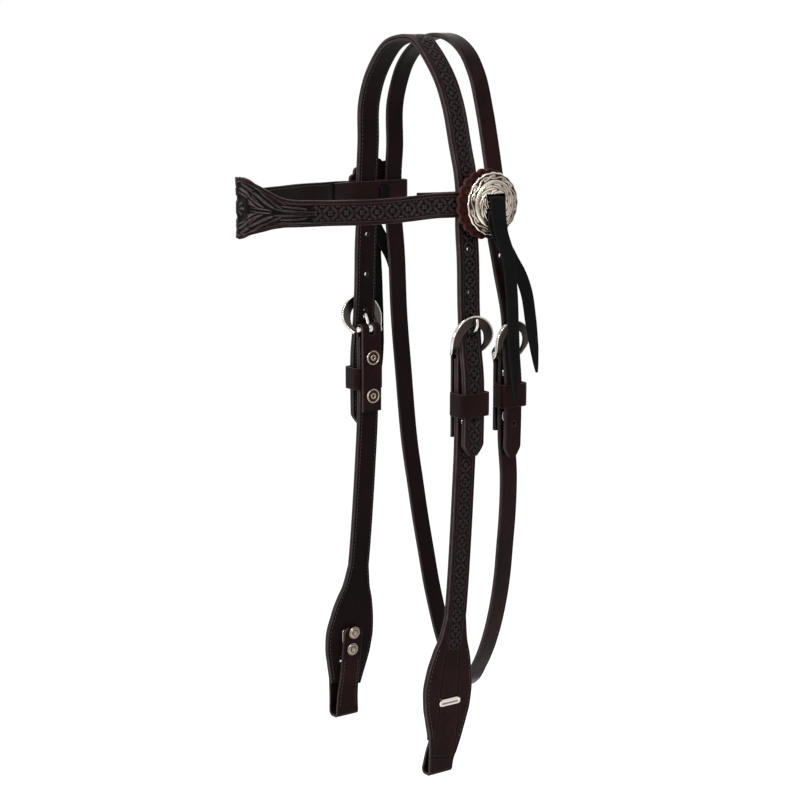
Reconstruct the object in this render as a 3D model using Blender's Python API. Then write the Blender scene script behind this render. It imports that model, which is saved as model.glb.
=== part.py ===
"""Western browband headstall, hanging as it does on a horse's head.

Metres, +Z up. +X is the horse's near (left) side, -Y is forward, and the origin is the underside
of the crown strap where it rests on the poll.
"""
import math
from dataclasses import dataclass

import bmesh
import bpy
from mathutils import Matrix, Vector

# Leather
STRAP_WIDTH = 0.019
FACE_PLY = 0.0026
LINING_PLY = 0.0025
THROAT_WIDTH = 0.016
THROAT_PLY = 0.004
KEEPER_PLY = 0.0017
EDGE_CHAMFER = 0.0006
SEAT_GAP = 0.0003
CUT_OVERRUN = 0.002

# The head that the straps go round, as depths below the poll and reaches from it
CHEEK_SPREAD = 0.072
BROW_DEPTH = 0.125
BUCKLE_DEPTH = 0.2405
BILLET_DEPTH = 0.3245
BIT_DEPTH = 0.587
NEAR_LOOP_DROP = 0.0026
FAR_LOOP_RISE = 0.009
BIT_DRIFT = 0.0185
FAR_DRIFT_share = 1.3
THROAT_SPACING = 0.0275
THROAT_DRIFT = 0.0255
THROAT_DROP = 0.549
THROAT_BAR_DEPTH = 0.2475
THROAT_TAIL_DEPTH = 0.331

# Crown strap: its outer face as shares of the spread and of the browband's depth
CROWN_FAR_SHARES = [(-1.0, -0.92), (-0.968, -0.66), (-0.95, -0.4), (-0.85, -0.25), (-0.695, -0.125)]
CROWN_TOP_SHARES = [(-0.42, 0.005), (-0.18, 0.0385), (-0.02, 0.0432), (0.13, 0.026), (0.305, -0.045)]
CROWN_NEAR_SHARES = [(0.44, -0.12), (0.61, -0.24), (0.73, -0.37), (0.89, -0.66), (0.965, -0.8)]
STRAIGHT_SHARES = (0.92, 1.14)

# Billets: (place from browband to heel bar, or from heel bar to tip, share of the rise)
BILLET_RISE = 0.0103
BILLET_SHARES = [(0.36, 0.21), (0.745, 0.38), (1.0, 0.65)]
BILLET_TAIL_SHARES = [(0.25, 0.94), (0.56, 1.0), (1.0, 0.93)]
BILLET_TIP = 0.009
BILLET_TIP_share = 0.35
TIP_STEP_SHARES = (0.0, 0.14, 0.42, 1.0)
HOLE_RADIUS = 0.0022
HOLE_PITCH = 0.034
HOLES_ABOVE = 2
HOLES_BELOW = 2
HOLE_SIDES = 8

# Buckles
CHEEK_BUCKLE_HALF_WIDTH = 0.0205
CHEEK_BUCKLE_BAND = 0.0088
THROAT_BUCKLE_HALF_WIDTH = 0.0172
THROAT_BUCKLE_BAND = 0.0072
THROAT_BAR_RADIUS = 0.002
BUCKLE_HEIGHT = 0.0285
BUCKLE_RISE = 0.0131
BUCKLE_PLY = 0.0027
BUCKLE_CHAMFER = 0.0009
FOOT_DROP = 0.0023
FOOT_share = 0.82
FRAME_STEPS = 13
BAR_SIDES = 12

# Tongues: the prong's path as shares of the frame's rise and height
TONGUE_HALF_WIDTH = 0.0021
TONGUE_RADIUS = 0.0012
TONGUE_LOOP_PLY = 0.0015
TONGUE_CHAMFER = 0.0005
PRONG_SHARES = [(0.278, 0.302), (0.413, 0.396), (0.762, 0.505)]
PRONG_END_SHARES = [(1.127, 0.604), (1.27, 0.716), (1.278, 0.912)]
PRONG_ROOT_ANGLE = 66
PRONG_SECTIONS = 12
PRONG_TIP_share = 0.7
TONGUE_SLOT_LENGTH = 0.0104
TONGUE_SLOT_HALF_WIDTH = 0.0019
TONGUE_SLOT_share = 0.432
FOLD_SLOT_CLEARANCE = 0.0007

# Fold over the heel bar, its post screws and keeper
FOLD_LENGTH = 0.0705
THROAT_FOLD_LENGTH = 0.0625
THROAT_FOLD_STEP = 0.0015
FOLD_STEPS = 10
FOLD_SETTLE_share = 1.2
LINING_TOP_GAP = 0.0065
SCREW_DROP = 0.024
SCREW_SPACING = 0.033
THROAT_SCREW_DROP = 0.0145
THROAT_SCREW_SPACING = 0.035
KEEPER_DROP = 0.0425
THROAT_KEEPER_DROP = 0.032
KEEPER_HEIGHT = 0.017
KEEPER_BEND = 0.0026
KEEPER_CLEARANCE = 0.0012
KEEPER_INLET = 0.0055
POST_HEAD_RADIUS = 0.0059
POST_HEAD_HEIGHT = 0.0018
POST_HEAD_SHARES = [(-1.0, 0.34), (-0.5, 0.54), (-1.0, 0.76), (-0.4, 1.0), (0.0, 1.0)]
POST_RADIUS = 0.0022
POST_BORE_RADIUS = 0.0015
POST_BORE_share = 0.3
SCREW_HEAD_RADIUS = 0.0045
SCREW_HEAD_HEIGHT = 0.0013
SCREW_RADIUS = 0.0012
SCREW_LENGTH_share = 0.6
SCREW_SIDES = 12

# Cheeks: drift forward by place from heel bar to bit, and the panel's extra width by height
DRIFT_SHARES = [(0.0, 0.0), (0.205, 0.0), (0.349, 0.12), (0.444, 0.22), (0.563, 0.37), (0.658, 0.54)]
DRIFT_END_SHARES = [(0.73, 0.72), (0.808, 0.9), (0.892, 0.98), (0.95, 1.0), (1.0, 1.0)]
PANEL_HEIGHT = 0.131
PANEL_HALF_WIDTH = 0.0235
PANEL_SHARES = [(0.0, 0.07), (0.09, 0.07), (0.2, 0.15), (0.336, 0.55), (0.46, 0.88), (0.55, 1.0)]
PANEL_TOP_SHARES = [(0.65, 0.88), (0.75, 0.66), (0.88, 0.23), (1.0, 0.0)]
CHEEK_SECTIONS = 8
PANEL_SECTIONS = 15

# Bit loop and quick-change tab
LOOP_BEND = 0.0042
LOOP_FLAT = 0.0036
LOOP_STEPS = 5
LINING_END_HEIGHT = 0.027
TAB_LEAD = 0.0005
TAB_TIP = 0.005
TAB_TIP_share = 0.7
TAB_STRAIGHT_HEIGHT = 0.031
TAB_SECTIONS = 5

# Hook plate and its slot above the bit, then rivets above the hook, and the tab's end above them
HOOK_RISE = 0.0589
HOOK_HALF_WIDTH = 0.0086
HOOK_PLATE = 0.0012
HOOK_LIP = 0.0056
HOOK_BEND = 0.0013
HOOK_STAND = 0.0006
HOOK_CHAMFER = 0.0003
HOOK_MARGIN = 0.0032
SLOT_CLEARANCE = 0.0009
SLOT_ROUND = 0.002
RIVET_RISE = 0.0091
RIVET_SPACING = 0.0145
RIVET_HEAD_RADIUS = 0.0058
RIVET_HEAD_HEIGHT = 0.0021
RIVET_HEAD_SHARES = [(-0.86, 0.5), (-0.5, 0.86), (0.0, 1.0)]
RIVET_RADIUS = 0.0016
TAB_TOP_MARGIN = 0.004

# Browband: its outer face as shares of the distance outside the crown strap and of its reach
BROW_HEIGHT = 0.0195
BROW_LINING = 0.0016
BROW_REACH = 0.167
BROW_SAG = 0.0025
BROW_RETURN = 0.030
ARM_SHARES = [(1.0, 0.065), (0.97, 0.135), (0.87, 0.225), (0.737, 0.318), (0.61, 0.5), (0.454, 0.669)]
NOSE_SHARES = [(0.334, 0.8), (0.24, 0.878), (0.16, 0.94), (0.087, 0.982), (0.0, 1.0)]
RETURN_SHARES = [(0.9, 1.0), (0.955, 0.7), (0.992, 0.4), (1.0, 0.23)]
WRAP_INSET = 0.0005
WRAP_STEPS = 7
FLARE_LENGTH = 0.055
FLARE_SHARES = [(0.0, 2.25), (0.07, 2.42), (0.14, 2.46), (0.26, 2.24), (0.38, 1.98), (0.5, 1.68)]
FLARE_END_SHARES = [(0.62, 1.36), (0.78, 1.15), (1.0, 1.03), (1.3, 1.0)]
NOSE_PLACE_SHARES = (0.0, 0.06, 0.13, 0.22, 0.32, 0.42, 0.53, 0.67, 0.83, 1.0)
ARM_SECTIONS = 8

# Concho, rosette and the slits for the string
CONCHO_RADIUS = 0.024
CONCHO_RISE = 0.0086
CONCHO_WALL = 0.0015
CONCHO_SIDES = 28
CONCHO_SHIFT = 0.002
DOME_SHARES = [(0.32, 1.0), (0.42, 0.96), (0.6, 0.75), (0.7, 0.69), (0.68, 0.62), (0.8, 0.46), (0.95, 0.22)]
SLOT_HALF_WIDTH = 0.0091
SLOT_HALF_HEIGHT = 0.0027
SLOT_SPACING = 0.0108
SLIT_CLEARANCE = 0.0004
ROSETTE_RADIUS = 0.0272
ROSETTE_PLY = 0.0033
SCALLOP_DEPTH = 0.0013
SCALLOP_COUNT = 20
SCALLOP_STEPS = 3

# String: its loop, and its tails as (share of the length, of the lean outward, of the sway back)
STRING_WIDTH = 0.0084
STRING_PLY = 0.002
STRING_BEND = 0.0017
STRING_SHIFT = 0.0005
STRING_STEPS = 4
FRONT_LIFT = 0.0037
REAR_LIFT = 0.001
LOOP_TAIL = 0.0033
TAIL_HALF_WIDTH = 0.0056
TAIL_GAP = 0.0004
FRONT_TAIL_LENGTH = 0.152
FRONT_LEAN = 0.0031
FRONT_SWAY = 0.0175
FRONT_TAIL_SHARES = [(0.0, 0.0, 0.0), (0.13, 0.16, 0.22), (0.21, 0.44, 0.46), (0.41, 0.88, 0.69)]
FRONT_TAIL_END_SHARES = [(0.68, 1.0, 0.82), (0.92, 1.0, 0.96), (1.0, 1.0, 0.985)]
REAR_TAIL_LENGTH = 0.1175
REAR_LEAN = 0.0028
REAR_SWAY = 0.041
REAR_TAIL_SHARES = [(0.0, 0.0, 0.0), (0.105, 0.1, 0.14), (0.24, 0.3, 0.39), (0.35, 0.55, 0.6)]
REAR_TAIL_END_SHARES = [(0.45, 0.75, 0.72), (0.65, 0.95, 0.835), (0.83, 1.0, 0.926), (1.0, 1.0, 1.0)]
TAIL_WIDTH_SHARES = [(0.0, 0.75), (0.25, 1.0), (0.68, 0.97), (0.85, 0.72), (0.95, 0.4), (1.0, 0.14)]
TAIL_SECTIONS = 13

# Throatlatch: its outer face over the poll as shares of the spread and the browband's depth,
# and round the throat as (place from browband to bottom, share of the spread, share of the drift)
OVER_FAR_SHARES = [(-0.972, -0.724), (-0.954, -0.388), (-0.872, -0.26), (-0.772, -0.156), (-0.633, -0.072)]
OVER_TOP_SHARES = [(-0.32, 0.026), (-0.035, 0.052), (0.246, 0.02), (0.486, -0.068), (0.633, -0.18)]
OVER_NEAR_SHARES = [(0.8, -0.428), (0.889, -0.612), (0.965, -0.79)]
THROAT_LEVEL_SHARES = (0.88, 1.0, 1.12)
THROAT_SIDE_SHARES = [(0.119, 1.028, 0.18), (0.256, 1.065, 0.37), (0.365, 1.06, 0.53)]
THROAT_LOOP_SHARES = [(0.531, 0.985, 0.68), (0.601, 0.93, 0.776), (0.672, 0.858, 0.843), (0.743, 0.775, 0.92)]
THROAT_END_SHARES = [(0.814, 0.667, 0.957), (0.861, 0.571, 0.976), (0.911, 0.442, 0.98), (0.948, 0.314, 0.983)]
THROAT_FOOT_SHARES = [(0.983, 0.165, 0.985), (1.0, 0.0, 0.985)]
THROAT_BUCKLE_DRIFT_share = 0.49
THROAT_BILLET_SHARES = [(0.41, 0.2, 0.42), (0.74, 0.47, 0.97), (1.0, 0.69, 1.0)]
THROAT_TAIL_SHARES = [(0.22, 0.9), (0.55, 0.94), (1.0, 0.85)]

DENSE_STEPS = 14
MOST_TURN = 12
MOST_RUN = 0.05
SMOOTH_ANGLE = 40
NEAR = 1
FAR = -1
SIDE_NAMES = {NEAR: "near", FAR: "far"}
LEVELS = ("upper", "lower")
AXIS_X = Vector((1, 0, 0))
AXIS_Y = Vector((0, 1, 0))
AXIS_Z = Vector((0, 0, 1))

# Finishes: colour, roughness and metallic value
TOOLED_LEATHER = ((0.030, 0.014, 0.012), 0.45, 0.0)
LINING_LEATHER = ((0.022, 0.012, 0.011), 0.6, 0.0)
PLAIN_LEATHER = ((0.026, 0.013, 0.011), 0.42, 0.0)
ROSETTE_LEATHER = ((0.10, 0.022, 0.013), 0.5, 0.0)
STRING_LEATHER = ((0.012, 0.011, 0.011), 0.6, 0.0)
SILVER = ((0.62, 0.61, 0.59), 0.3, 1.0)
NICKEL = ((0.50, 0.48, 0.45), 0.18, 1.0)
CUTTER_FINISH = ((0.5, 0.5, 0.5), 0.5, 0.0)

# Faces that several pieces line up with, worked out from the sizes above
PLY_PAIR = FACE_PLY + SEAT_GAP + LINING_PLY
LINING_INSIDE = CHEEK_SPREAD - PLY_PAIR
BROW_OUTSIDE = CHEEK_SPREAD + SEAT_GAP + FACE_PLY
BROW_INSIDE = LINING_INSIDE - SEAT_GAP - FACE_PLY
ROSETTE_OUTSIDE = BROW_OUTSIDE + SEAT_GAP + ROSETTE_PLY
CONCHO_BASE = ROSETTE_OUTSIDE + SEAT_GAP
CONCHO_TOP = CONCHO_BASE + CONCHO_RISE
THROAT_FRONT_EDGE = THROAT_SPACING - THROAT_WIDTH / 2
NEAR_LOOP_DEPTH = BIT_DEPTH + NEAR_LOOP_DROP
FAR_LOOP_DEPTH = BIT_DEPTH - FAR_LOOP_RISE
HOOK_DEPTH = BIT_DEPTH - HOOK_RISE
RIVET_DEPTH = HOOK_DEPTH - RIVET_RISE
TAB_TOP_DEPTH = RIVET_DEPTH - RIVET_SPACING - TAB_TOP_MARGIN
ROSETTE_Y = (STRAP_WIDTH / 2 + THROAT_FRONT_EDGE) / 2
STRING_Y = ROSETTE_Y - STRING_SHIFT
CONCHO_CENTRE = Vector((CONCHO_BASE, ROSETTE_Y + CONCHO_SHIFT, -BROW_DEPTH))
SLOT_HEIGHTS = (CONCHO_CENTRE.z + SLOT_SPACING / 2, CONCHO_CENTRE.z - SLOT_SPACING / 2)


@dataclass
class Buckle:
    """Sizes of one arch buckle whose heel bar lies along Y."""

    bar: Vector
    bar_radius: float
    half_width: float
    band: float
    strap_ply: float
    strap_width: float
    fold_length: float
    inner_face: float
    screw_depths: tuple
    keeper_depth: float
    keeper_face: float
    keeper_inlet: float

    @property
    def fold_radius(self):
        """Outer radius of the strap where it goes over the heel bar."""
        return self.bar_radius + SEAT_GAP + self.strap_ply

    @property
    def outer_face(self):
        """Outer face of the strap below the bar."""
        return self.bar.x + self.fold_radius


def cheek_buckle():
    """Near cheek buckle. The fold is as thick as the plies and the keeper inside it."""
    bar_radius = (LINING_PLY + KEEPER_PLY + SEAT_GAP) / 2
    fold_radius = bar_radius + SEAT_GAP + FACE_PLY
    bar = Vector((CHEEK_SPREAD - fold_radius, 0, -BUCKLE_DEPTH))
    return Buckle(
        bar=bar,
        bar_radius=bar_radius,
        half_width=CHEEK_BUCKLE_HALF_WIDTH,
        band=CHEEK_BUCKLE_BAND,
        strap_ply=FACE_PLY,
        strap_width=STRAP_WIDTH,
        fold_length=FOLD_LENGTH,
        inner_face=bar.x - fold_radius,
        screw_depths=(SCREW_DROP, SCREW_DROP + SCREW_SPACING),
        keeper_depth=KEEPER_DROP,
        keeper_face=CHEEK_SPREAD + BILLET_RISE,
        keeper_inlet=LINING_INSIDE - SEAT_GAP - KEEPER_PLY / 2,
    )


def throat_buckle():
    """Buckle of the throatlatch, on the near side only."""
    fold_radius = THROAT_BAR_RADIUS + SEAT_GAP + THROAT_PLY
    outer_face = CHEEK_SPREAD + THROAT_FOLD_STEP
    inlet = outer_face - THROAT_PLY - SEAT_GAP - KEEPER_PLY / 2
    return Buckle(
        bar=Vector((outer_face - fold_radius, throat_y(THROAT_BUCKLE_DRIFT_share), -THROAT_BAR_DEPTH)),
        bar_radius=THROAT_BAR_RADIUS,
        half_width=THROAT_BUCKLE_HALF_WIDTH,
        band=THROAT_BUCKLE_BAND,
        strap_ply=THROAT_PLY,
        strap_width=THROAT_WIDTH,
        fold_length=THROAT_FOLD_LENGTH,
        inner_face=inlet - KEEPER_PLY / 2 - SEAT_GAP - THROAT_PLY,
        screw_depths=(THROAT_SCREW_DROP, THROAT_SCREW_DROP + THROAT_SCREW_SPACING),
        keeper_depth=THROAT_KEEPER_DROP,
        keeper_face=CHEEK_SPREAD + BILLET_RISE * THROAT_TAIL_SHARES[1][1],
        keeper_inlet=inlet,
    )


def clear_scene():
    """Remove what the file opened with."""
    for thing in list(bpy.data.objects):
        bpy.data.objects.remove(thing, do_unlink=True)


def add_material(name, finish):
    """Principled material with one colour."""
    colour, roughness, metallic = finish
    made = bpy.data.materials.new(name)
    made.use_nodes = True
    shader = made.node_tree.nodes["Principled BSDF"]
    shader.inputs["Base Color"].default_value = (*colour, 1.0)
    shader.inputs["Roughness"].default_value = roughness
    shader.inputs["Metallic"].default_value = metallic
    return made


def add_object(name, builder, finish, side=NEAR):
    """Turn a near-side bmesh into a named object, mirrored where it belongs to the far side."""
    for corner in builder.verts:
        corner.co.x *= side
    bmesh.ops.recalc_face_normals(builder, faces=builder.faces)
    mesh = bpy.data.meshes.new(name)
    builder.to_mesh(mesh)
    builder.free()
    mesh.shade_smooth()
    mesh.set_sharp_from_angle(angle=math.radians(SMOOTH_ANGLE))
    mesh.materials.append(add_material(name, finish))
    made = bpy.data.objects.new(name, mesh)
    bpy.context.collection.objects.link(made)
    return made


def put_origin(target, place, side=NEAR):
    """Put an object's origin on its joint and leave its shape where it is."""
    joint = Vector((place.x * side, place.y, place.z))
    target.data.transform(Matrix.Translation(-joint))
    target.location = joint


def add_boolean(target, helper, operation):
    """Cut or join with a hidden helper object."""
    helper.hide_render = True
    helper.display_type = "WIRE"
    step = target.modifiers.new(helper.name, "BOOLEAN")
    step.operation = operation
    step.solver = "EXACT"
    step.use_self = True
    step.object = helper


def curve_slopes(points):
    """Distances between points, and the smooth curve's slope at each, weighed by those distances."""
    spans = [(after - before).length for before, after in zip(points, points[1:])]
    slopes = [(points[1] - points[0]) / spans[0]]
    for before, here, after, back, ahead in zip(points, points[1:], points[2:], spans, spans[1:]):
        slopes.append(((here - before) * ahead / back + (after - here) * back / ahead) / (back + ahead))
    slopes.append((points[-1] - points[-2]) / spans[-1])
    return spans, slopes


def curve_through(points, sparing=False):
    """Smooth curve through points: dense, or sparing of points where it hardly turns."""
    curve = []
    spans, slopes = curve_slopes(points)
    for start, end, span, first, last in zip(points, points[1:], spans, slopes, slopes[1:]):
        steps = DENSE_STEPS
        if sparing:
            steps = math.ceil(max(first.angle(last) / math.radians(MOST_TURN), span / MOST_RUN))
        for step in range(steps):
            t = step / steps
            turn = first * span * (t - 2 * t ** 2 + t ** 3) + last * span * (t ** 3 - t ** 2)
            curve.append(start * (1 - 3 * t ** 2 + 2 * t ** 3) + end * (3 * t ** 2 - 2 * t ** 3) + turn)
    curve.append(points[-1])
    return curve


def run_lengths(points):
    """Distance along a row of points at each of them."""
    runs = [0.0]
    for start, end in zip(points, points[1:]):
        runs.append(runs[-1] + (end - start).length)
    return runs


def read_at(points, runs, place):
    """Point at a distance along a row of points."""
    for start, end, low, high in zip(points, points[1:], runs, runs[1:]):
        if place <= high:
            return start.lerp(end, (place - low) / (high - low))
    return points[-1].copy()


def evenly(first, last, count):
    """Evenly spaced numbers, both ends among them."""
    return [first + (last - first) * step / (count - 1) for step in range(count)]


def table_value(shares, place):
    """Read a table of (place, value) shares with straight lines between its rows."""
    if place <= shares[0][0]:
        return shares[0][1]
    for (low, first), (high, last) in zip(shares, shares[1:]):
        if place <= high:
            return first + (last - first) * (place - low) / (high - low)
    return shares[-1][1]


def smooth_table(shares):
    """The same table with its corners rounded."""
    curve = curve_through([Vector((place, value, 0)) for place, value in shares])
    return [(point.x, point.y) for point in curve]


def tip_share(distance, length, least_share):
    """Width share near a rounded tip: least at its end, one where it begins."""
    if distance >= length:
        return 1.0
    left_share = 1 - max(distance, 0.0) / length
    return least_share + (1 - least_share) * math.sqrt(1 - left_share ** 2)


def directions(points):
    """Unit direction of travel at each point."""
    behind = [points[0]] + points[:-1]
    ahead = points[1:] + [points[-1]]
    return [(after - before).normalized() for before, after in zip(behind, ahead)]


def outward_normals(points, hint):
    """Outward normal at each point of a strap whose width lies along the hint."""
    return [travel.cross(hint).normalized() for travel in directions(points)]


def ribbon(points, hint, depth, half_ply, half_widths, chamfer=EDGE_CHAMFER, builder=None):
    """Closed strap solid, its middle at a depth inside an outer face that is given as points."""
    builder = builder or bmesh.new()
    edge = min(chamfer, half_ply / 2)
    quarter = [(edge, 0), (0, edge)] if edge else [(0, 0)]
    rings = []
    for point, travel, normal, half_width in zip(
        points, directions(points), outward_normals(points, hint), half_widths
    ):
        across = normal.cross(travel)
        middle = point - normal * depth
        right = [(half_width - a, half_ply - out) for a, out in quarter]
        right += [(a, -out) for a, out in reversed(right)]
        section = right + [(-a, -out) for a, out in right]
        rings.append([builder.verts.new(middle + across * a + normal * out) for a, out in section])
    join_rings(builder, rings)
    builder.faces.new(rings[0])
    builder.faces.new(rings[-1][::-1])
    return builder


def join_rings(builder, rings, closed=False):
    """Quads between rings of as many points."""
    followers = rings[1:] + rings[:1] if closed else rings[1:]
    for ring, after in zip(rings, followers):
        for corner, start in enumerate(ring):
            beyond = (corner + 1) % len(ring)
            builder.faces.new((start, ring[beyond], after[beyond], after[corner]))


def arc_points(centre, first, second, radius, start, end, count):
    """Points on an arc in the plane of two directions, its angles in degrees."""
    angles = [math.radians(angle) for angle in evenly(start, end, count)]
    return [centre + (first * math.cos(a) + second * math.sin(a)) * radius for a in angles]


def circle_points(centre, axis, radius, sides):
    """Points round an axis."""
    side = axis.orthogonal().normalized()
    other = axis.cross(side)
    turns = [math.tau * step / sides for step in range(sides)]
    return [centre + (side * math.cos(a) + other * math.sin(a)) * radius for a in turns]


def turned(builder, origin, axis, profile, sides):
    """Closed turned solid. The profile is (along the axis, radius), from axis to axis."""
    rings = [
        [builder.verts.new(point) for point in circle_points(origin + axis * along, axis, radius, sides)]
        for along, radius in profile[1:-1]
    ]
    join_rings(builder, rings)
    for ring, along in ((rings[0], profile[0][0]), (rings[-1], profile[-1][0])):
        tip = builder.verts.new(origin + axis * along)
        for corner, start in enumerate(ring):
            builder.faces.new((tip, start, ring[(corner + 1) % sides]))
    return builder


def prism(builder, centre, outline, half_length):
    """Closed prism along X with an outline of (y, z) pairs."""
    rings = [
        [builder.verts.new(centre + AXIS_X * reach + AXIS_Y * y + AXIS_Z * z) for y, z in outline]
        for reach in (-half_length, half_length)
    ]
    join_rings(builder, rings)
    builder.faces.new(rings[0])
    builder.faces.new(rings[1][::-1])


def round_outline(radius, sides):
    """Regular outline."""
    turns = [math.tau * step / sides for step in range(sides)]
    return [(radius * math.cos(a), radius * math.sin(a)) for a in turns]


def slot_outline(half_width, half_height, rounding, steps=3):
    """Rectangle with rounded corners."""
    corners = [(1, 1), (-1, 1), (-1, -1), (1, -1)]
    outline = []
    for quarter, (side, rise) in enumerate(corners):
        centre = (side * (half_width - rounding), rise * (half_height - rounding))
        for angle in evenly(90 * quarter, 90 * quarter + 90, steps + 1):
            turn = math.radians(angle)
            outline.append((centre[0] + rounding * math.cos(turn), centre[1] + rounding * math.sin(turn)))
    return outline


def add_cutter(name, shapes, side=NEAR):
    """Hidden cutter of prisms along X, each given as (centre, outline, half length)."""
    builder = bmesh.new()
    for centre, outline, half_length in shapes:
        prism(builder, centre, outline, half_length)
    return add_object(name, builder, CUTTER_FINISH, side)


def throat_y(drift_share):
    """Place of the throatlatch behind the crown strap."""
    return THROAT_SPACING + THROAT_DRIFT * drift_share


def on_billet(depth, rise_share, y=0.0):
    """Point on the outer face of a near billet."""
    return Vector((CHEEK_SPREAD + BILLET_RISE * rise_share, y, -depth))


def between(first, last, share):
    """Value a share of the way from one size to another."""
    return first + (last - first) * share


def near_billet():
    """Outer face of the crown's near billet, from the browband to its tip."""
    points = [on_billet(BROW_DEPTH * share, 0.0) for share in STRAIGHT_SHARES]
    points += [on_billet(between(BROW_DEPTH, BUCKLE_DEPTH, place), rise) for place, rise in BILLET_SHARES]
    tail = [(between(BUCKLE_DEPTH, BILLET_DEPTH, place), rise) for place, rise in BILLET_TAIL_SHARES]
    return points + [on_billet(depth, rise) for depth, rise in tail]


def crown_face_points():
    """Outer face of the crown strap, from the far tip over the poll to the near one."""
    near = near_billet()
    far = [Vector((-point.x, point.y, point.z)) for point in reversed(near)]
    arch = CROWN_FAR_SHARES[1:] + CROWN_TOP_SHARES + CROWN_NEAR_SHARES
    return far + [Vector((CHEEK_SPREAD * x, 0, BROW_DEPTH * z)) for x, z in arch] + near


def strap_sections(points, rounded_start):
    """Sections of a strap with a rounded tip, or two: their middles and tip width shares."""
    curve = curve_through(points, sparing=True)
    runs = run_lengths(curve)
    length = runs[-1]
    tip = [BILLET_TIP * share for share in TIP_STEP_SHARES]
    first = tip if rounded_start else [0.0]
    middle = [run for run in runs if first[-1] < run < length - tip[-1]]
    places = first + middle + [length - step for step in reversed(tip)]
    near_end = [min(place, length - place) if rounded_start else length - place for place in places]
    shares = [tip_share(step, BILLET_TIP, BILLET_TIP_share) for step in near_end]
    return [read_at(curve, runs, place) for place in places], shares


def billet_holes(side):
    """Round holes of a billet and the long one for its tongue."""
    reach = BILLET_RISE + PLY_PAIR + CUT_OVERRUN
    tongue_hole = -BUCKLE_DEPTH + BUCKLE_HEIGHT * TONGUE_SLOT_share
    hole = round_outline(HOLE_RADIUS, HOLE_SIDES)
    heights = [tongue_hole + HOLE_PITCH * step for step in range(-HOLES_BELOW, HOLES_ABOVE + 1) if step]
    shapes = [(Vector((CHEEK_SPREAD, 0, z)), hole, reach) for z in heights]
    long_hole = slot_outline(TONGUE_SLOT_HALF_WIDTH, TONGUE_SLOT_LENGTH / 2, TONGUE_SLOT_HALF_WIDTH)
    shapes.append((Vector((CHEEK_SPREAD, 0, tongue_hole)), long_hole, reach))
    return add_cutter(f"billet_holes_{SIDE_NAMES[side]}", shapes, side)


def build_crown():
    """Both plies of the crown strap, punched together."""
    points, shares = strap_sections(crown_face_points(), rounded_start=True)
    half_widths = [STRAP_WIDTH / 2 * share for share in shares]
    holes = [billet_holes(side) for side in SIDE_NAMES]
    plies = [
        ("crown_face", FACE_PLY / 2, FACE_PLY, EDGE_CHAMFER, TOOLED_LEATHER),
        ("crown_lining", PLY_PAIR - LINING_PLY / 2, LINING_PLY, 0, LINING_LEATHER),
    ]
    for name, depth, ply, chamfer, finish in plies:
        strap = add_object(name, ribbon(points, AXIS_Y, depth, ply / 2, half_widths, chamfer), finish)
        for cutter in holes:
            add_boolean(strap, cutter, "DIFFERENCE")


def fold_points(buckle):
    """Outer face of a strap turned back over its heel bar, from the turned end to the outside."""
    foot = -buckle.fold_length
    settled = -buckle.fold_radius * FOLD_SETTLE_share
    inner = [
        Vector((buckle.inner_face, buckle.bar.y, buckle.bar.z + height))
        for height in evenly(foot, settled, FOLD_STEPS // 2)
    ]
    return inner + arc_points(buckle.bar, -AXIS_X, AXIS_Z, buckle.fold_radius, 0, 180, FOLD_STEPS)


def fold_openings(buckle):
    """Shapes of the post screws' holes and of the slot that the tongue's loop stands in."""
    reach = buckle.fold_radius + CUT_OVERRUN / 2
    hole = round_outline(POST_RADIUS + SEAT_GAP, HOLE_SIDES)
    shapes = [(buckle.bar - AXIS_Z * depth, hole, reach) for depth in buckle.screw_depths]
    low = -(buckle.bar_radius + SEAT_GAP + TONGUE_LOOP_PLY) - FOLD_SLOT_CLEARANCE
    high = buckle.fold_radius + CUT_OVERRUN
    slot = slot_outline(TONGUE_HALF_WIDTH + FOLD_SLOT_CLEARANCE, (high - low) / 2, FOLD_SLOT_CLEARANCE)
    return shapes + [(buckle.bar + AXIS_Z * (low + high) / 2, slot, reach)]


def cheek_place(z, side):
    """How far forward a cheek lies at a height."""
    place = (-z - BUCKLE_DEPTH) / (BIT_DEPTH - BUCKLE_DEPTH)
    drift = BIT_DRIFT * (FAR_DRIFT_share if side == FAR else 1)
    return -drift * table_value(smooth_table(DRIFT_SHARES + DRIFT_END_SHARES), place)


def loop_bottom(side):
    """Height of the lowest leather of a cheek, the foot of its bit loop."""
    return -(FAR_LOOP_DEPTH if side == FAR else NEAR_LOOP_DEPTH)


def cheek_half_width(z):
    """Half the width of a cheek at a height: strap above, flared panel and neck below."""
    place = (z + BIT_DEPTH) / PANEL_HEIGHT
    extra = PANEL_HALF_WIDTH - STRAP_WIDTH / 2
    return STRAP_WIDTH / 2 + extra * table_value(smooth_table(PANEL_SHARES + PANEL_TOP_SHARES), place)


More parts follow.
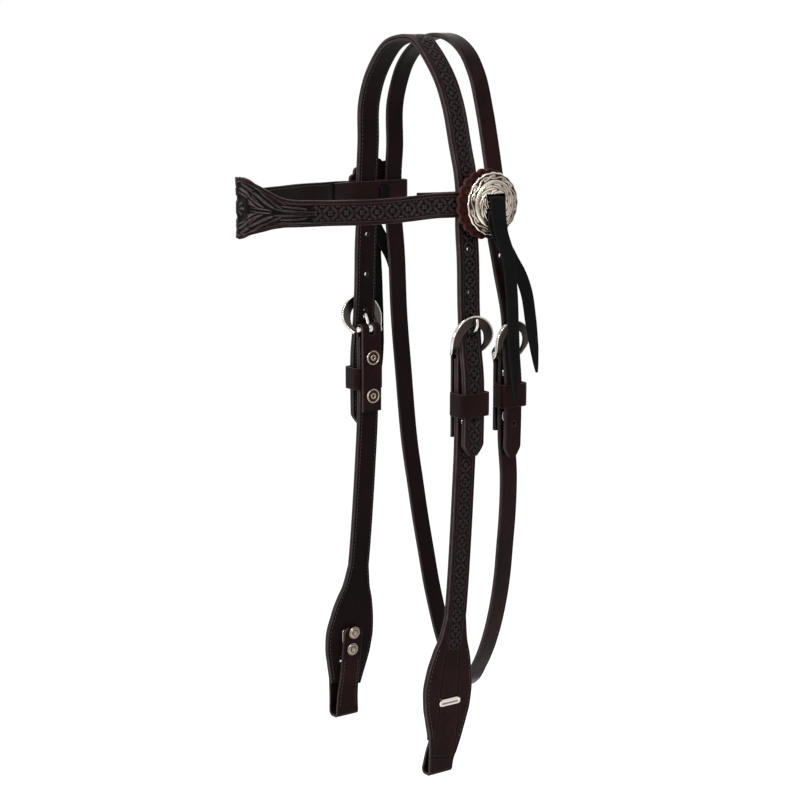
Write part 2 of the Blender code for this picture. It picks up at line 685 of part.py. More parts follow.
def build_cheek(side):
    """Both plies of a cheek: the face with its fold and bit loop, and the lining."""
    name = SIDE_NAMES[side]
    buckle = cheek_buckle()
    bottom = loop_bottom(side)
    panel_top = -BIT_DEPTH + PANEL_HEIGHT
    bend_top = bottom + LOOP_BEND
    heights = evenly(buckle.bar.z, panel_top, CHEEK_SECTIONS)[1:]
    heights += evenly(panel_top, bend_top, PANEL_SECTIONS)[1:-1]
    outside = [Vector((CHEEK_SPREAD, cheek_place(z, side), z)) for z in heights]
    foot = Vector((CHEEK_SPREAD - LOOP_BEND, cheek_place(bottom, side), bend_top))
    bend = arc_points(foot, AXIS_X, -AXIS_Z, LOOP_BEND, 0, 90, LOOP_STEPS)
    flat_end = bend[-1] - AXIS_X * (LOOP_FLAT - SEAT_GAP / 2)
    points = fold_points(buckle) + outside + bend + [flat_end]
    half_widths = [cheek_half_width(point.z) for point in points]
    builder = ribbon(points, AXIS_Y, FACE_PLY / 2, FACE_PLY / 2, half_widths)
    face = add_object(f"cheek_face_{name}", builder, TOOLED_LEATHER, side)
    lining_top = buckle.bar.z - LINING_TOP_GAP
    lining_end = bottom + LINING_END_HEIGHT
    lining_heights = [lining_top] + [z for z in heights if lining_end < z < lining_top] + [lining_end]
    inside = [Vector((CHEEK_SPREAD, cheek_place(z, side), z)) for z in lining_heights]
    lining_widths = [cheek_half_width(z) for z in lining_heights]
    builder = ribbon(inside, AXIS_Y, PLY_PAIR - LINING_PLY / 2, LINING_PLY / 2, lining_widths, 0)
    lining = add_object(f"cheek_lining_{name}", builder, LINING_LEATHER, side)
    cutter = add_cutter(f"cheek_openings_{name}", fold_openings(buckle) + [hook_slot(side)], side)
    for ply in (face, lining):
        add_boolean(ply, cutter, "DIFFERENCE")


def hook_slot(side):
    """Shape of the slot in a panel that the hook goes through."""
    centre = Vector((CHEEK_SPREAD - PLY_PAIR / 2, cheek_place(-HOOK_DEPTH, side), -HOOK_DEPTH))
    outline = slot_outline(HOOK_HALF_WIDTH + SLOT_CLEARANCE, HOOK_LIP / 2 + SLOT_CLEARANCE, SLOT_ROUND)
    return centre, outline, PLY_PAIR / 2 + CUT_OVERRUN


def tab_face():
    """Outer face of the tab where it lies behind the panel."""
    return LINING_INSIDE - SEAT_GAP - HOOK_PLATE - SEAT_GAP - FACE_PLY


def build_tab(side):
    """Quick-change tab with its hook plate and rivets, all carried by the tab's fold."""
    name = SIDE_NAMES[side]
    bottom = loop_bottom(side)
    y = cheek_place(bottom, side)
    hinge = Vector((CHEEK_SPREAD - LOOP_BEND - LOOP_FLAT, y, bottom))
    start = hinge - AXIS_X * SEAT_GAP / 2
    bend_centre = start + Vector((-TAB_LEAD, 0, LOOP_BEND))
    bend = [start] + arc_points(bend_centre, -AXIS_Z, -AXIS_X, LOOP_BEND, 0, 90, LOOP_STEPS)
    straight = bottom + TAB_STRAIGHT_HEIGHT
    lean_x = between(bend[-1].x, tab_face(), 0.5)
    lean = Vector((lean_x, y, between(bottom + LOOP_BEND, straight, 0.5)))
    tip_heights = [-TAB_TOP_DEPTH - TAB_TIP * share for share in reversed(TIP_STEP_SHARES)]
    heights = evenly(straight, tip_heights[0] - TAB_TIP, TAB_SECTIONS) + tip_heights
    points = bend + [lean] + [Vector((tab_face(), cheek_place(z, side), z)) for z in heights]
    neck = cheek_half_width(bottom)
    half_widths = [
        between(neck, STRAP_WIDTH / 2, min(1.0, (point.z - bottom) / TAB_STRAIGHT_HEIGHT))
        * tip_share(-TAB_TOP_DEPTH - point.z, TAB_TIP, TAB_TIP_share)
        for point in points
    ]
    builder = ribbon(points, AXIS_Y, FACE_PLY / 2, FACE_PLY / 2, half_widths)
    tab = add_object(f"bit_tab_{name}", builder, PLAIN_LEATHER, side)
    hook = add_object(f"bit_hook_{name}", hook_solid(side), NICKEL, side)
    rivets = [
        add_object(f"tab_rivet_{level}_{name}", rivet_solid(place), NICKEL, side)
        for level, place in zip(reversed(LEVELS), rivet_places(side))
    ]
    hole = round_outline(RIVET_RADIUS + SEAT_GAP, HOLE_SIDES)
    reach = FACE_PLY + HOOK_PLATE + CUT_OVERRUN
    shapes = [(place, hole, reach) for place in rivet_places(side)]
    cutter = add_cutter(f"rivet_holes_{name}", shapes, side)
    for piece in (tab, hook):
        add_boolean(piece, cutter, "DIFFERENCE")
    for piece in [tab, hook] + rivets:
        put_origin(piece, hinge, side)


def rivet_places(side):
    """Middles of the two rivets on the tab's outer face."""
    heights = (-RIVET_DEPTH, RIVET_SPACING - RIVET_DEPTH)
    return [Vector((tab_face(), cheek_place(z, side), z)) for z in heights]


def rivet_solid(place):
    """Domed rivet whose shank ends flush with the hook plate."""
    length = SEAT_GAP + FACE_PLY + SEAT_GAP + HOOK_PLATE
    dome = [(RIVET_HEAD_HEIGHT * along, RIVET_HEAD_RADIUS * out) for along, out in RIVET_HEAD_SHARES]
    profile = [(-RIVET_HEAD_HEIGHT, 0)] + dome + [(0, RIVET_RADIUS), (length, RIVET_RADIUS), (length, 0)]
    return turned(bmesh.new(), place - AXIS_X * SEAT_GAP, AXIS_X, profile, SCREW_SIDES)


def hook_solid(side):
    """Hook plate: flat under the rivets, out through the slot, then a lip down the panel's face."""
    y = cheek_place(-HOOK_DEPTH, side)
    plate_x = LINING_INSIDE - SEAT_GAP - HOOK_PLATE / 2
    lip_x = CHEEK_SPREAD + HOOK_STAND + HOOK_PLATE / 2
    shank_z = (HOOK_LIP - HOOK_PLATE) / 2 - HOOK_DEPTH
    top_z = RIVET_SPACING + HOOK_MARGIN - RIVET_DEPTH
    inner = Vector((plate_x + HOOK_BEND, y, shank_z + HOOK_BEND))
    outer = Vector((lip_x - HOOK_BEND, y, shank_z - HOOK_BEND))
    points = [Vector((plate_x, y, top_z))]
    points += arc_points(inner, -AXIS_X, -AXIS_Z, HOOK_BEND, 0, 90, LOOP_STEPS)
    points += arc_points(outer, AXIS_Z, AXIS_X, HOOK_BEND, 0, 90, LOOP_STEPS)
    points.append(Vector((lip_x, y, shank_z + HOOK_PLATE / 2 - HOOK_LIP)))
    half_widths = [HOOK_HALF_WIDTH] * len(points)
    return ribbon(points, AXIS_Y, 0, HOOK_PLATE / 2, half_widths, HOOK_CHAMFER)


def frame_point(buckle, u, v):
    """Point of the domed buckle frame at a place across and above its heel bar."""
    crest = BUCKLE_HEIGHT - buckle.band / 2
    return buckle.bar + Vector((BUCKLE_RISE * math.sin(math.pi / 2 * v / crest), u, v))


def frame_outline(buckle):
    """Middle line of the frame's band: up one side, over the arch and down the other."""
    radius = buckle.half_width - buckle.band / 2
    shoulder = BUCKLE_HEIGHT - buckle.band / 2 - radius
    side = [(radius, v) for v in evenly(-FOOT_DROP, shoulder, 4)[:-1]]
    turns = [math.radians(angle) for angle in evenly(0, 180, FRAME_STEPS)]
    arch = [(radius * math.cos(a), shoulder + radius * math.sin(a)) for a in turns]
    return side + arch + [(-u, v) for u, v in reversed(side)]


def frame_solid(buckle):
    """Band of the frame, its flat face following the dome."""
    builder = bmesh.new()
    outline = frame_outline(buckle)
    points = [frame_point(buckle, u, v) for u, v in outline]
    crest = BUCKLE_HEIGHT - buckle.band / 2
    rings = []
    for (u, v), point, travel in zip(outline, points, directions(points)):
        steep = BUCKLE_RISE / crest * math.pi / 2 * math.cos(math.pi / 2 * v / crest)
        normal = Vector((1, 0, -steep)).normalized()
        across = travel.cross(normal).normalized()
        half_band = buckle.band / 2 * between(FOOT_share, 1, min(1.0, max(0.0, v / crest) * 2))
        half_ply = BUCKLE_PLY / 2
        edge = BUCKLE_CHAMFER
        quarter = [(half_band - edge, half_ply), (half_band, half_ply - edge)]
        right = quarter + [(a, -out) for a, out in reversed(quarter)]
        section = right + [(-a, -out) for a, out in right]
        rings.append([builder.verts.new(point + across * a + normal * out) for a, out in section])
    join_rings(builder, rings)
    builder.faces.new(rings[0])
    builder.faces.new(rings[-1][::-1])
    return builder


def tongue_prong(buckle):
    """Prong of a tongue: up under the billet, out through its hole and over the frame."""
    radius = buckle.bar_radius + SEAT_GAP + TONGUE_LOOP_PLY / 2
    root = math.radians(PRONG_ROOT_ANGLE)
    start = buckle.bar + Vector((radius * math.cos(root), 0, radius * math.sin(root)))
    shares = PRONG_SHARES + PRONG_END_SHARES
    path = [buckle.bar + Vector((BUCKLE_RISE * x, 0, BUCKLE_HEIGHT * z)) for x, z in shares]
    curve = curve_through([start] + path)
    runs = run_lengths(curve)
    places = evenly(0, runs[-1], PRONG_SECTIONS)
    points = [read_at(curve, runs, place) for place in places]
    half_widths = [TONGUE_RADIUS] * (PRONG_SECTIONS - 1) + [TONGUE_RADIUS * PRONG_TIP_share]
    return ribbon(points, AXIS_Y, 0, TONGUE_RADIUS, half_widths, TONGUE_CHAMFER)


def tongue_loop(buckle):
    """Loop of a tongue, free to turn on the heel bar."""
    builder = bmesh.new()
    inner = buckle.bar_radius + SEAT_GAP
    section = [
        (inner, -TONGUE_HALF_WIDTH), (inner, TONGUE_HALF_WIDTH),
        (inner + TONGUE_LOOP_PLY, TONGUE_HALF_WIDTH), (inner + TONGUE_LOOP_PLY, -TONGUE_HALF_WIDTH),
    ]
    circles = [circle_points(buckle.bar + AXIS_Y * y, AXIS_Y, radius, BAR_SIDES) for radius, y in section]
    rings = [[builder.verts.new(point) for point in circle] for circle in circles]
    join_rings(builder, rings, closed=True)
    return builder


def post_profile(length):
    """Ringed head, and a barrel with a bore in its end."""
    head = [(POST_HEAD_HEIGHT * along, POST_HEAD_RADIUS * out) for along, out in POST_HEAD_SHARES]
    bore_end = length * POST_BORE_share
    barrel = [(0, POST_RADIUS), (length, POST_RADIUS)]
    barrel += [(length, POST_BORE_RADIUS), (bore_end, POST_BORE_RADIUS)]
    return [(head[0][0], 0)] + head + barrel + [(bore_end, 0)]


def build_screws(buckle, name, side):
    """Post screws that close a fold: posts from the inside, screws from the outside."""
    stem, tail = name
    inside = buckle.inner_face - SEAT_GAP
    length = buckle.outer_face - inside
    screw = [(SCREW_HEAD_HEIGHT, 0), (SCREW_HEAD_HEIGHT, SCREW_HEAD_RADIUS / 2)]
    screw += [(SCREW_HEAD_HEIGHT / 2, SCREW_HEAD_RADIUS), (0, SCREW_HEAD_RADIUS), (0, SCREW_RADIUS)]
    screw += [(-length * SCREW_LENGTH_share, SCREW_RADIUS), (-length * SCREW_LENGTH_share, 0)]
    for level, depth in zip(LEVELS, buckle.screw_depths):
        place = Vector((inside, buckle.bar.y, buckle.bar.z - depth))
        post = turned(bmesh.new(), place, AXIS_X, post_profile(length), SCREW_SIDES)
        add_object(f"{stem}_post_{level}{tail}", post, NICKEL, side)
        stud = turned(bmesh.new(), place + AXIS_X * (length + SEAT_GAP), AXIS_X, screw, SCREW_SIDES)
        add_object(f"{stem}_screw_{level}{tail}", stud, NICKEL, side)


def keeper_solid(buckle):
    """Keeper round the billet, its ends caught inside the fold."""
    z = buckle.bar.z - buckle.keeper_depth
    side = buckle.strap_width / 2 + KEEPER_CLEARANCE + KEEPER_PLY / 2
    back = buckle.keeper_inlet
    front = buckle.keeper_face + 2 * SEAT_GAP + KEEPER_PLY / 2
    middle = Vector((0, buckle.bar.y, z))
    back_corner = middle + Vector((back + KEEPER_BEND, KEEPER_BEND - side, 0))
    front_corner = middle + Vector((front - KEEPER_BEND, KEEPER_BEND - side, 0))
    half = [middle + Vector((back, KEEPER_INLET - side, 0))]
    half += arc_points(back_corner, -AXIS_X, -AXIS_Y, KEEPER_BEND, 0, 90, LOOP_STEPS)
    half += arc_points(front_corner, -AXIS_Y, AXIS_X, KEEPER_BEND, 0, 90, LOOP_STEPS)
    other = [Vector((point.x, 2 * buckle.bar.y - point.y, point.z)) for point in reversed(half)]
    points = half + other
    return ribbon(points, AXIS_Z, 0, KEEPER_PLY / 2, [KEEPER_HEIGHT / 2] * len(points), 0)


def build_buckle(buckle, name, side):
    """Frame with its heel bar, tongue, keeper and post screws of one strap end."""
    stem, tail = name
    frame = add_object(f"{stem}_buckle{tail}", frame_solid(buckle), NICKEL, side)
    bar_builder = bmesh.new()
    reach = buckle.half_width - buckle.band / 2
    profile = [(-reach, 0), (-reach, buckle.bar_radius), (reach, buckle.bar_radius), (reach, 0)]
    turned(bar_builder, buckle.bar, AXIS_Y, profile, BAR_SIDES)
    bar = add_object(f"{stem}_heel_bar{tail}", bar_builder, CUTTER_FINISH, side)
    add_boolean(frame, bar, "UNION")
    tongue = add_object(f"{stem}_tongue{tail}", tongue_prong(buckle), NICKEL, side)
    loop = add_object(f"{stem}_tongue_loop{tail}", tongue_loop(buckle), CUTTER_FINISH, side)
    add_boolean(tongue, loop, "UNION")
    put_origin(tongue, buckle.bar, side)
    add_object(f"{stem}_keeper{tail}", keeper_solid(buckle), PLAIN_LEATHER, side)
    build_screws(buckle, name, side)


def near_arm():
    """Outer face of the browband's near arm in plan, from the crown strap to the nose."""
    return [Vector((BROW_OUTSIDE * x, -BROW_REACH * y, 0)) for x, y in ARM_SHARES + NOSE_SHARES]


def brow_height(x, place_share):
    """Middle height of the browband: one arm hangs a little lower than the other."""
    side = math.copysign(1, x) if x else 0
    return -BROW_DEPTH - side * BROW_SAG * math.sin(math.pi * min(1.0, max(0.0, place_share)))


def arm_sections():
    """Near arm's sections from crown strap to nose: points, and distances from the nose."""
    arm = near_arm()
    beyond = Vector((-arm[-2].x, arm[-2].y, 0))
    curve = curve_through(arm + [beyond])[: DENSE_STEPS * (len(arm) - 1) + 1]
    runs = run_lengths(curve)
    length = runs[-1]
    far_places = evenly(0, length - FLARE_LENGTH, ARM_SECTIONS)[:-1]
    near_places = [length - FLARE_LENGTH * share for share in reversed(NOSE_PLACE_SHARES)]
    sections = []
    for place in far_places + near_places:
        point = read_at(curve, runs, place)
        point.z = brow_height(point.x, place / length)
        sections.append((point, length - place))
    return sections


def both_arms(sections):
    """Sections of both arms, from the near crown strap round the nose to the far one."""
    far = [
        (Vector((-point.x, point.y, -2 * BROW_DEPTH - point.z)), distance)
        for point, distance in reversed(sections[:-1])
    ]
    return sections + far


def flare_half_height(distance):
    """Half the height of the browband at a distance from its nose."""
    shares = smooth_table(FLARE_SHARES + FLARE_END_SHARES)
    return BROW_HEIGHT / 2 * table_value(shares, distance / FLARE_LENGTH)


def turned_end():
    """Near end of the browband: inside the straps, round the throatlatch and out again."""
    end = STRAP_WIDTH / 2 + BROW_RETURN
    rear = THROAT_SPACING + THROAT_WIDTH / 2 - WRAP_INSET
    inside = [Vector((BROW_INSIDE * x, -end * y, -BROW_DEPTH)) for x, y in RETURN_SHARES]
    dense = curve_through(inside)
    runs = run_lengths(dense)
    inside = [read_at(dense, runs, place) for place in evenly(0, runs[-1], WRAP_STEPS)]
    centre = Vector(((BROW_OUTSIDE + BROW_INSIDE) / 2, rear, -BROW_DEPTH))
    wrap = arc_points(centre, -AXIS_X, AXIS_Y, (BROW_OUTSIDE - BROW_INSIDE) / 2, 0, 180, WRAP_STEPS)
    return inside + wrap


def string_slits(name, side):
    """Two slits that the string goes through."""
    half_width = STRING_WIDTH / 2 + SLIT_CLEARANCE
    outline = slot_outline(half_width, STRING_PLY / 2 + SLIT_CLEARANCE, SLIT_CLEARANCE)
    reach = (ROSETTE_OUTSIDE - BROW_INSIDE) / 2 + CUT_OVERRUN
    middle = (ROSETTE_OUTSIDE + BROW_INSIDE) / 2
    shapes = [(Vector((middle, STRING_Y, z)), outline, reach) for z in SLOT_HEIGHTS]
    return add_cutter(f"{name}_slits_{SIDE_NAMES[side]}", shapes, side)


def build_browband():
    """Face of the browband with its turned ends, and the lining between them."""
    sections = arm_sections()
    arms = both_arms(sections)
    near_end = turned_end()
    far_end = [Vector((-point.x, point.y, point.z)) for point in reversed(near_end)]
    points = near_end + [point for point, _ in arms] + far_end
    plain = BROW_HEIGHT / 2
    heights = [flare_half_height(distance) for _, distance in arms]
    heights = [plain] * len(near_end) + heights + [plain] * len(far_end)
    builder = ribbon(points, -AXIS_Z, FACE_PLY / 2, FACE_PLY / 2, heights)
    face = add_object("browband_face", builder, TOOLED_LEATHER)
    for side in SIDE_NAMES:
        add_boolean(face, string_slits("browband", side), "DIFFERENCE")
    lining_start = STRAP_WIDTH / 2 + BROW_RETURN + 2 * FACE_PLY
    middle = [(point, distance) for point, distance in arms if point.y < -lining_start]
    lining_heights = [flare_half_height(distance) for _, distance in middle]
    depth = FACE_PLY + SEAT_GAP + BROW_LINING / 2
    builder = ribbon([point for point, _ in middle], -AXIS_Z, depth, BROW_LINING / 2, lining_heights, 0)
    add_object("browband_lining", builder, LINING_LEATHER)


def rosette_outline():
    """Scalloped edge."""
    count = SCALLOP_COUNT * SCALLOP_STEPS
    outline = []
    for step in range(count):
        turn = math.tau * step / count
        lobe = abs(math.sin(turn * SCALLOP_COUNT / 2))
        radius = ROSETTE_RADIUS - SCALLOP_DEPTH * (1 - lobe)
        outline.append((radius * math.cos(turn), radius * math.sin(turn)))
    return outline


def build_rosette(side):
    """Scalloped leather washer between browband and concho."""
    centre = Vector((ROSETTE_OUTSIDE - ROSETTE_PLY / 2, ROSETTE_Y, -BROW_DEPTH))
    builder = bmesh.new()
    prism(builder, centre, rosette_outline(), ROSETTE_PLY / 2)
    rosette = add_object(f"rosette_{SIDE_NAMES[side]}", builder, ROSETTE_LEATHER, side)
    add_boolean(rosette, string_slits("rosette", side), "DIFFERENCE")


def build_concho(side):
    """Domed concho with a raised ring and two slots."""
    dome = [(CONCHO_RISE * along, CONCHO_RADIUS * out) for along, out in DOME_SHARES]
    hollow = [
        (max(0.0, along - CONCHO_WALL), out - CONCHO_WALL)
        for along, out in (dome[-1], dome[2], dome[1])
    ]
    rim = [(0, CONCHO_RADIUS - CONCHO_WALL), (0, CONCHO_RADIUS)]
    profile = [(CONCHO_RISE - CONCHO_WALL, 0)] + hollow + rim + dome + [(CONCHO_RISE, 0)]
    builder = bmesh.new()
    turned(builder, CONCHO_CENTRE, AXIS_X, profile, CONCHO_SIDES)
    concho = add_object(f"concho_{SIDE_NAMES[side]}", builder, SILVER, side)
    outline = slot_outline(SLOT_HALF_WIDTH, SLOT_HALF_HEIGHT, SLOT_HALF_HEIGHT / 2)
    shapes = [
        (Vector((CONCHO_BASE + CONCHO_RISE / 2, CONCHO_CENTRE.y, z)), outline, CONCHO_RISE)
        for z in SLOT_HEIGHTS
    ]
    add_boolean(concho, add_cutter(f"concho_slots_{SIDE_NAMES[side]}", shapes, side), "DIFFERENCE")


def build_string(side):
    """String that ties a concho on, in one loop, and its two hanging tails."""
    y = STRING_Y
    high, low = SLOT_HEIGHTS
    front_x = CONCHO_TOP + FRONT_LIFT
    rear_x = CONCHO_TOP + REAR_LIFT
    inside = BROW_INSIDE - SEAT_GAP - STRING_PLY / 2
    bend = STRING_BEND
    corners = [
        (front_x - bend, high - bend, AXIS_X, AXIS_Z),
        (inside + bend, high - bend, AXIS_Z, -AXIS_X),
        (inside + bend, low + bend, -AXIS_X, -AXIS_Z),
        (rear_x - bend, low - bend, AXIS_Z, AXIS_X),
    ]
    points = [Vector((front_x, y, high - bend - LOOP_TAIL))]
    for x, z, first, second in corners:
        points += arc_points(Vector((x, y, z)), first, second, bend, 0, 90, STRING_STEPS)
    points.append(Vector((rear_x, y, low - bend - LOOP_TAIL)))
    builder = ribbon(points, AXIS_Y, 0, STRING_PLY / 2, [STRING_WIDTH / 2] * len(points), 0)
    add_object(f"string_loop_{SIDE_NAMES[side]}", builder, STRING_LEATHER, side)
    pivot_drop = TAIL_GAP + STRING_WIDTH / 2
    front_shares = FRONT_TAIL_SHARES + FRONT_TAIL_END_SHARES
    rear_shares = REAR_TAIL_SHARES + REAR_TAIL_END_SHARES
    tails = [
        ("front", points[0], front_shares, FRONT_TAIL_LENGTH, FRONT_LEAN, FRONT_SWAY),
        ("rear", points[-1], rear_shares, REAR_TAIL_LENGTH, REAR_LEAN, REAR_SWAY),
    ]
    for name, root, shares, length, lean, sway in tails:
        pivot = root - AXIS_Z * pivot_drop
        path = [pivot + Vector((lean * x, sway * back, -length * down)) for down, x, back in shares]
        tail = add_object(f"string_{name}_{SIDE_NAMES[side]}", tail_solid(path), STRING_LEATHER, side)
        put_origin(tail, pivot, side)


def tail_solid(path):
    """Flat string tail: a half-round top about its pivot, then down to a cut point."""
    top_radius = TAIL_HALF_WIDTH * TAIL_WIDTH_SHARES[0][1]
    curve = curve_through(path)
    runs = run_lengths(curve)
    places = evenly(0, runs[-1], TAIL_SECTIONS)
    points = [read_at(curve, runs, place) for place in places]
    half_widths = [TAIL_HALF_WIDTH * table_value(TAIL_WIDTH_SHARES, place / runs[-1]) for place in places]
    angles = [math.radians(angle) for angle in (80, 55, 28)]
    cap = [path[0] + AXIS_Z * top_radius * math.sin(a) for a in angles]
    cap_widths = [top_radius * math.cos(a) for a in angles]
    return ribbon(cap + points, AXIS_Y, 0, STRING_PLY / 2, cap_widths + half_widths, 0)


def throat_loop_point(place, spread_share, drift_share, side):
    """Outer face of the throatlatch between the browband and the throat."""
    return Vector((
        side * CHEEK_SPREAD * spread_share,
        throat_y(drift_share),
        -between(BROW_DEPTH, THROAT_DROP, place),
    ))


def throat_billet(buckle):
    """Outer face of the throatlatch from behind the near rosette to its tip."""
    points = [Vector((CHEEK_SPREAD, THROAT_SPACING, -BROW_DEPTH * share)) for share in THROAT_LEVEL_SHARES]
    for place, rise, drift in THROAT_BILLET_SHARES:
        y = throat_y(THROAT_BUCKLE_DRIFT_share * drift)
        points.append(on_billet(between(BROW_DEPTH, THROAT_BAR_DEPTH, place), rise, y))
    for place, rise in THROAT_TAIL_SHARES:
        points.append(on_billet(between(THROAT_BAR_DEPTH, THROAT_TAIL_DEPTH, place), rise, buckle.bar.y))
    return points


def throat_points(buckle):
    """Outer face of the throatlatch below its buckle, round the throat and over the poll."""
    below = evenly(-THROAT_SCREW_DROP, -buckle.fold_length, FOLD_STEPS // 2)
    points = [Vector((buckle.outer_face, buckle.bar.y, buckle.bar.z + height)) for height in below]
    loop = THROAT_LOOP_SHARES + THROAT_END_SHARES + THROAT_FOOT_SHARES
    points += [throat_loop_point(*row, NEAR) for row in loop]
    points += [throat_loop_point(*row, FAR) for row in reversed(THROAT_SIDE_SHARES + loop[:-1])]
    billet = throat_billet(buckle)
    points += [Vector((-point.x, point.y, point.z)) for point in reversed(billet[:len(THROAT_LEVEL_SHARES)])]
    over = OVER_FAR_SHARES + OVER_TOP_SHARES + OVER_NEAR_SHARES
    points += [Vector((CHEEK_SPREAD * x, THROAT_SPACING, BROW_DEPTH * z)) for x, z in over]
    return points + billet


def build_throatlatch():
    """Throatlatch: one strap, folded round the heel bar at one end and punched at the other."""
    buckle = throat_buckle()
    fold = fold_points(buckle)
    route, shares = strap_sections([fold[-1]] + throat_points(buckle), rounded_start=False)
    points = fold + route[1:]
    half_widths = [THROAT_WIDTH / 2] * len(fold) + [THROAT_WIDTH / 2 * share for share in shares[1:]]
    builder = ribbon(points, AXIS_Y, THROAT_PLY / 2, THROAT_PLY / 2, half_widths)
    strap = add_object("throatlatch_strap", builder, PLAIN_LEATHER)
    cutter = add_cutter("throat_openings", fold_openings(buckle) + billet_openings(buckle))
    add_boolean(strap, cutter, "DIFFERENCE")


def billet_openings(buckle):
    """Holes of the throatlatch's billet. Those below the bar stop short of the fold inside them."""
    reach = BILLET_RISE / 2 + CUT_OVERRUN
    tongue_hole = Vector((CHEEK_SPREAD, buckle.bar.y, buckle.bar.z + BUCKLE_HEIGHT * TONGUE_SLOT_share))
    shallow = AXIS_X * (THROAT_FOLD_STEP + SEAT_GAP + reach)
    hole = round_outline(HOLE_RADIUS, HOLE_SIDES)
    above = [tongue_hole + AXIS_Z * HOLE_PITCH * step for step in range(1, HOLES_ABOVE + 1)]
    drift_table = [(-point.z, point.y) for point in curve_through(throat_billet(buckle))]
    for place in above:
        place.y = table_value(drift_table, -place.z)
    below = [tongue_hole - AXIS_Z * HOLE_PITCH * step + shallow for step in range(1, HOLES_BELOW + 1)]
    shapes = [(place, hole, reach) for place in above + below]
    long_hole = slot_outline(TONGUE_SLOT_HALF_WIDTH, TONGUE_SLOT_LENGTH / 2, TONGUE_SLOT_HALF_WIDTH)
    return shapes + [(tongue_hole, long_hole, BILLET_RISE)]


def main():
    """Build every piece."""
    clear_scene()
    build_crown()
    build_browband()
    for side, name in SIDE_NAMES.items():
        build_cheek(side)
        build_buckle(cheek_buckle(), ("cheek", f"_{name}"), side)
        build_tab(side)
        build_rosette(side)
        build_concho(side)
        build_string(side)
    build_throatlatch()
    build_buckle(throat_buckle(), ("throat", ""), NEAR)


main()
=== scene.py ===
"""Looks of a western browband headstall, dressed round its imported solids.

Metres, +Z up. +X is the horse's near side, -Y is forward, and the origin is the underside of the
crown strap where it rests on the poll. Every piece lies where the solid that it stands for lies.
"""
import logging
import math
from dataclasses import dataclass, field
from enum import Enum
from typing import Callable, Optional, Sequence

import bmesh
import bpy
import numpy as np
from mathutils import Matrix, Vector


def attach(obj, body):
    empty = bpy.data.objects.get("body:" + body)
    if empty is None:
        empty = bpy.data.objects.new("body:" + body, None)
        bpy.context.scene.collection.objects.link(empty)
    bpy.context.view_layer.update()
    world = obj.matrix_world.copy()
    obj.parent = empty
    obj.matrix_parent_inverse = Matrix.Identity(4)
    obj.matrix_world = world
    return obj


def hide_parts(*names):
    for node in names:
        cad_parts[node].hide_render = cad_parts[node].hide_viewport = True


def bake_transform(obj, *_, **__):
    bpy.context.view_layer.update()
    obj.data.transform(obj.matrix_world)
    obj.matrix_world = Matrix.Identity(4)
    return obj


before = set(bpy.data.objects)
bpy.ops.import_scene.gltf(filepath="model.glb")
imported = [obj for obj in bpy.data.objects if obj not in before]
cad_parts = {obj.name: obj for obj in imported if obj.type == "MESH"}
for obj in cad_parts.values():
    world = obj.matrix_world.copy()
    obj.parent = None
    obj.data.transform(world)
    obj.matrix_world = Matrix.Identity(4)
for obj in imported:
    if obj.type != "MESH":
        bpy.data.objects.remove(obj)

Array = np.ndarray
Colour = tuple[float, float, float]
Shares = Sequence[tuple[float, ...]]
Depths = Callable[[Array, Array, Array], Array]
Shape = tuple[Array, Array, float]

log = logging.getLogger("headstall")

MM = 0.001
AXES = np.eye(3)
X, Y, Z = AXES


class Side(Enum):
    """Side of the horse. Far pieces are near ones mirrored in X."""

    NEAR = 1
    FAR = -1

    @property
    def label(self) -> str:
        """Word that the side's node names end with."""
        return self.name.lower()


class Level(Enum):
    """Which of two fasteners on a strap."""

    UPPER = "upper"
    LOWER = "lower"


class Ride(Enum):
    """Bodies of the frame, without their side."""

    STRAPS = "straps"
    CHEEK_TONGUE = "cheek_tongue"
    THROAT_TONGUE = "throat_tongue"
    BIT_TAB = "bit_tab"
    STRING_FRONT = "string_front"
    STRING_REAR = "string_rear"

    def on(self, side: Side) -> str:
        """Name of this body on one side."""
        return f"{self.value}_{side.label}"


# Curves


def through(points: Sequence, steps: int = 24) -> Array:
    """Smooth dense curve through points, its slopes weighed by their distances.

    Args:
        points: Rows of three coordinates.
        steps: Pieces between one point and the next.

    Returns:
        Rows of points on the curve.
    """
    rows = np.asarray(points, float)
    steps_between = np.diff(rows, axis=0)
    span = np.linalg.norm(steps_between, axis=1)[:, None]
    way = steps_between / span
    slope = np.empty_like(rows)
    slope[0], slope[-1] = way[0], way[-1]
    slope[1:-1] = (way[:-1] * span[1:] + way[1:] * span[:-1]) / (span[1:] + span[:-1])
    t = (np.arange(steps) / steps)[None, :, None]
    start, end = rows[:-1, None], rows[1:, None]
    bent = slope[:-1, None] * (t - 2 * t**2 + t**3) + slope[1:, None] * (t**3 - t**2)
    curve = start * (1 - 3 * t**2 + 2 * t**3) + end * (3 * t**2 - 2 * t**3) + bent * span[:, None]
    return np.vstack([curve.reshape(-1, 3), rows[-1:]])


def run_of(points: Array) -> Array:
    """Distance along a row of points at each of them."""
    return np.concatenate([[0.0], np.cumsum(np.linalg.norm(np.diff(points, axis=0), axis=1))])


def spaced(points: Array, pitch: float) -> Array:
    """The same line with its points evenly spaced at about a pitch."""
    runs = run_of(points)
    count = max(2, round(runs[-1] / pitch) + 1)
    places = np.linspace(0, runs[-1], count)
    return np.stack([np.interp(places, runs, points[:, i]) for i in range(3)], axis=1)


def smooth_share(shares: Shares, place: Array) -> Array:
    """Read a table of (place, value) shares with its corners rounded."""
    curve = through([(x, y, 0.0) for x, y in shares])
    return np.interp(place, curve[:, 0], curve[:, 1])


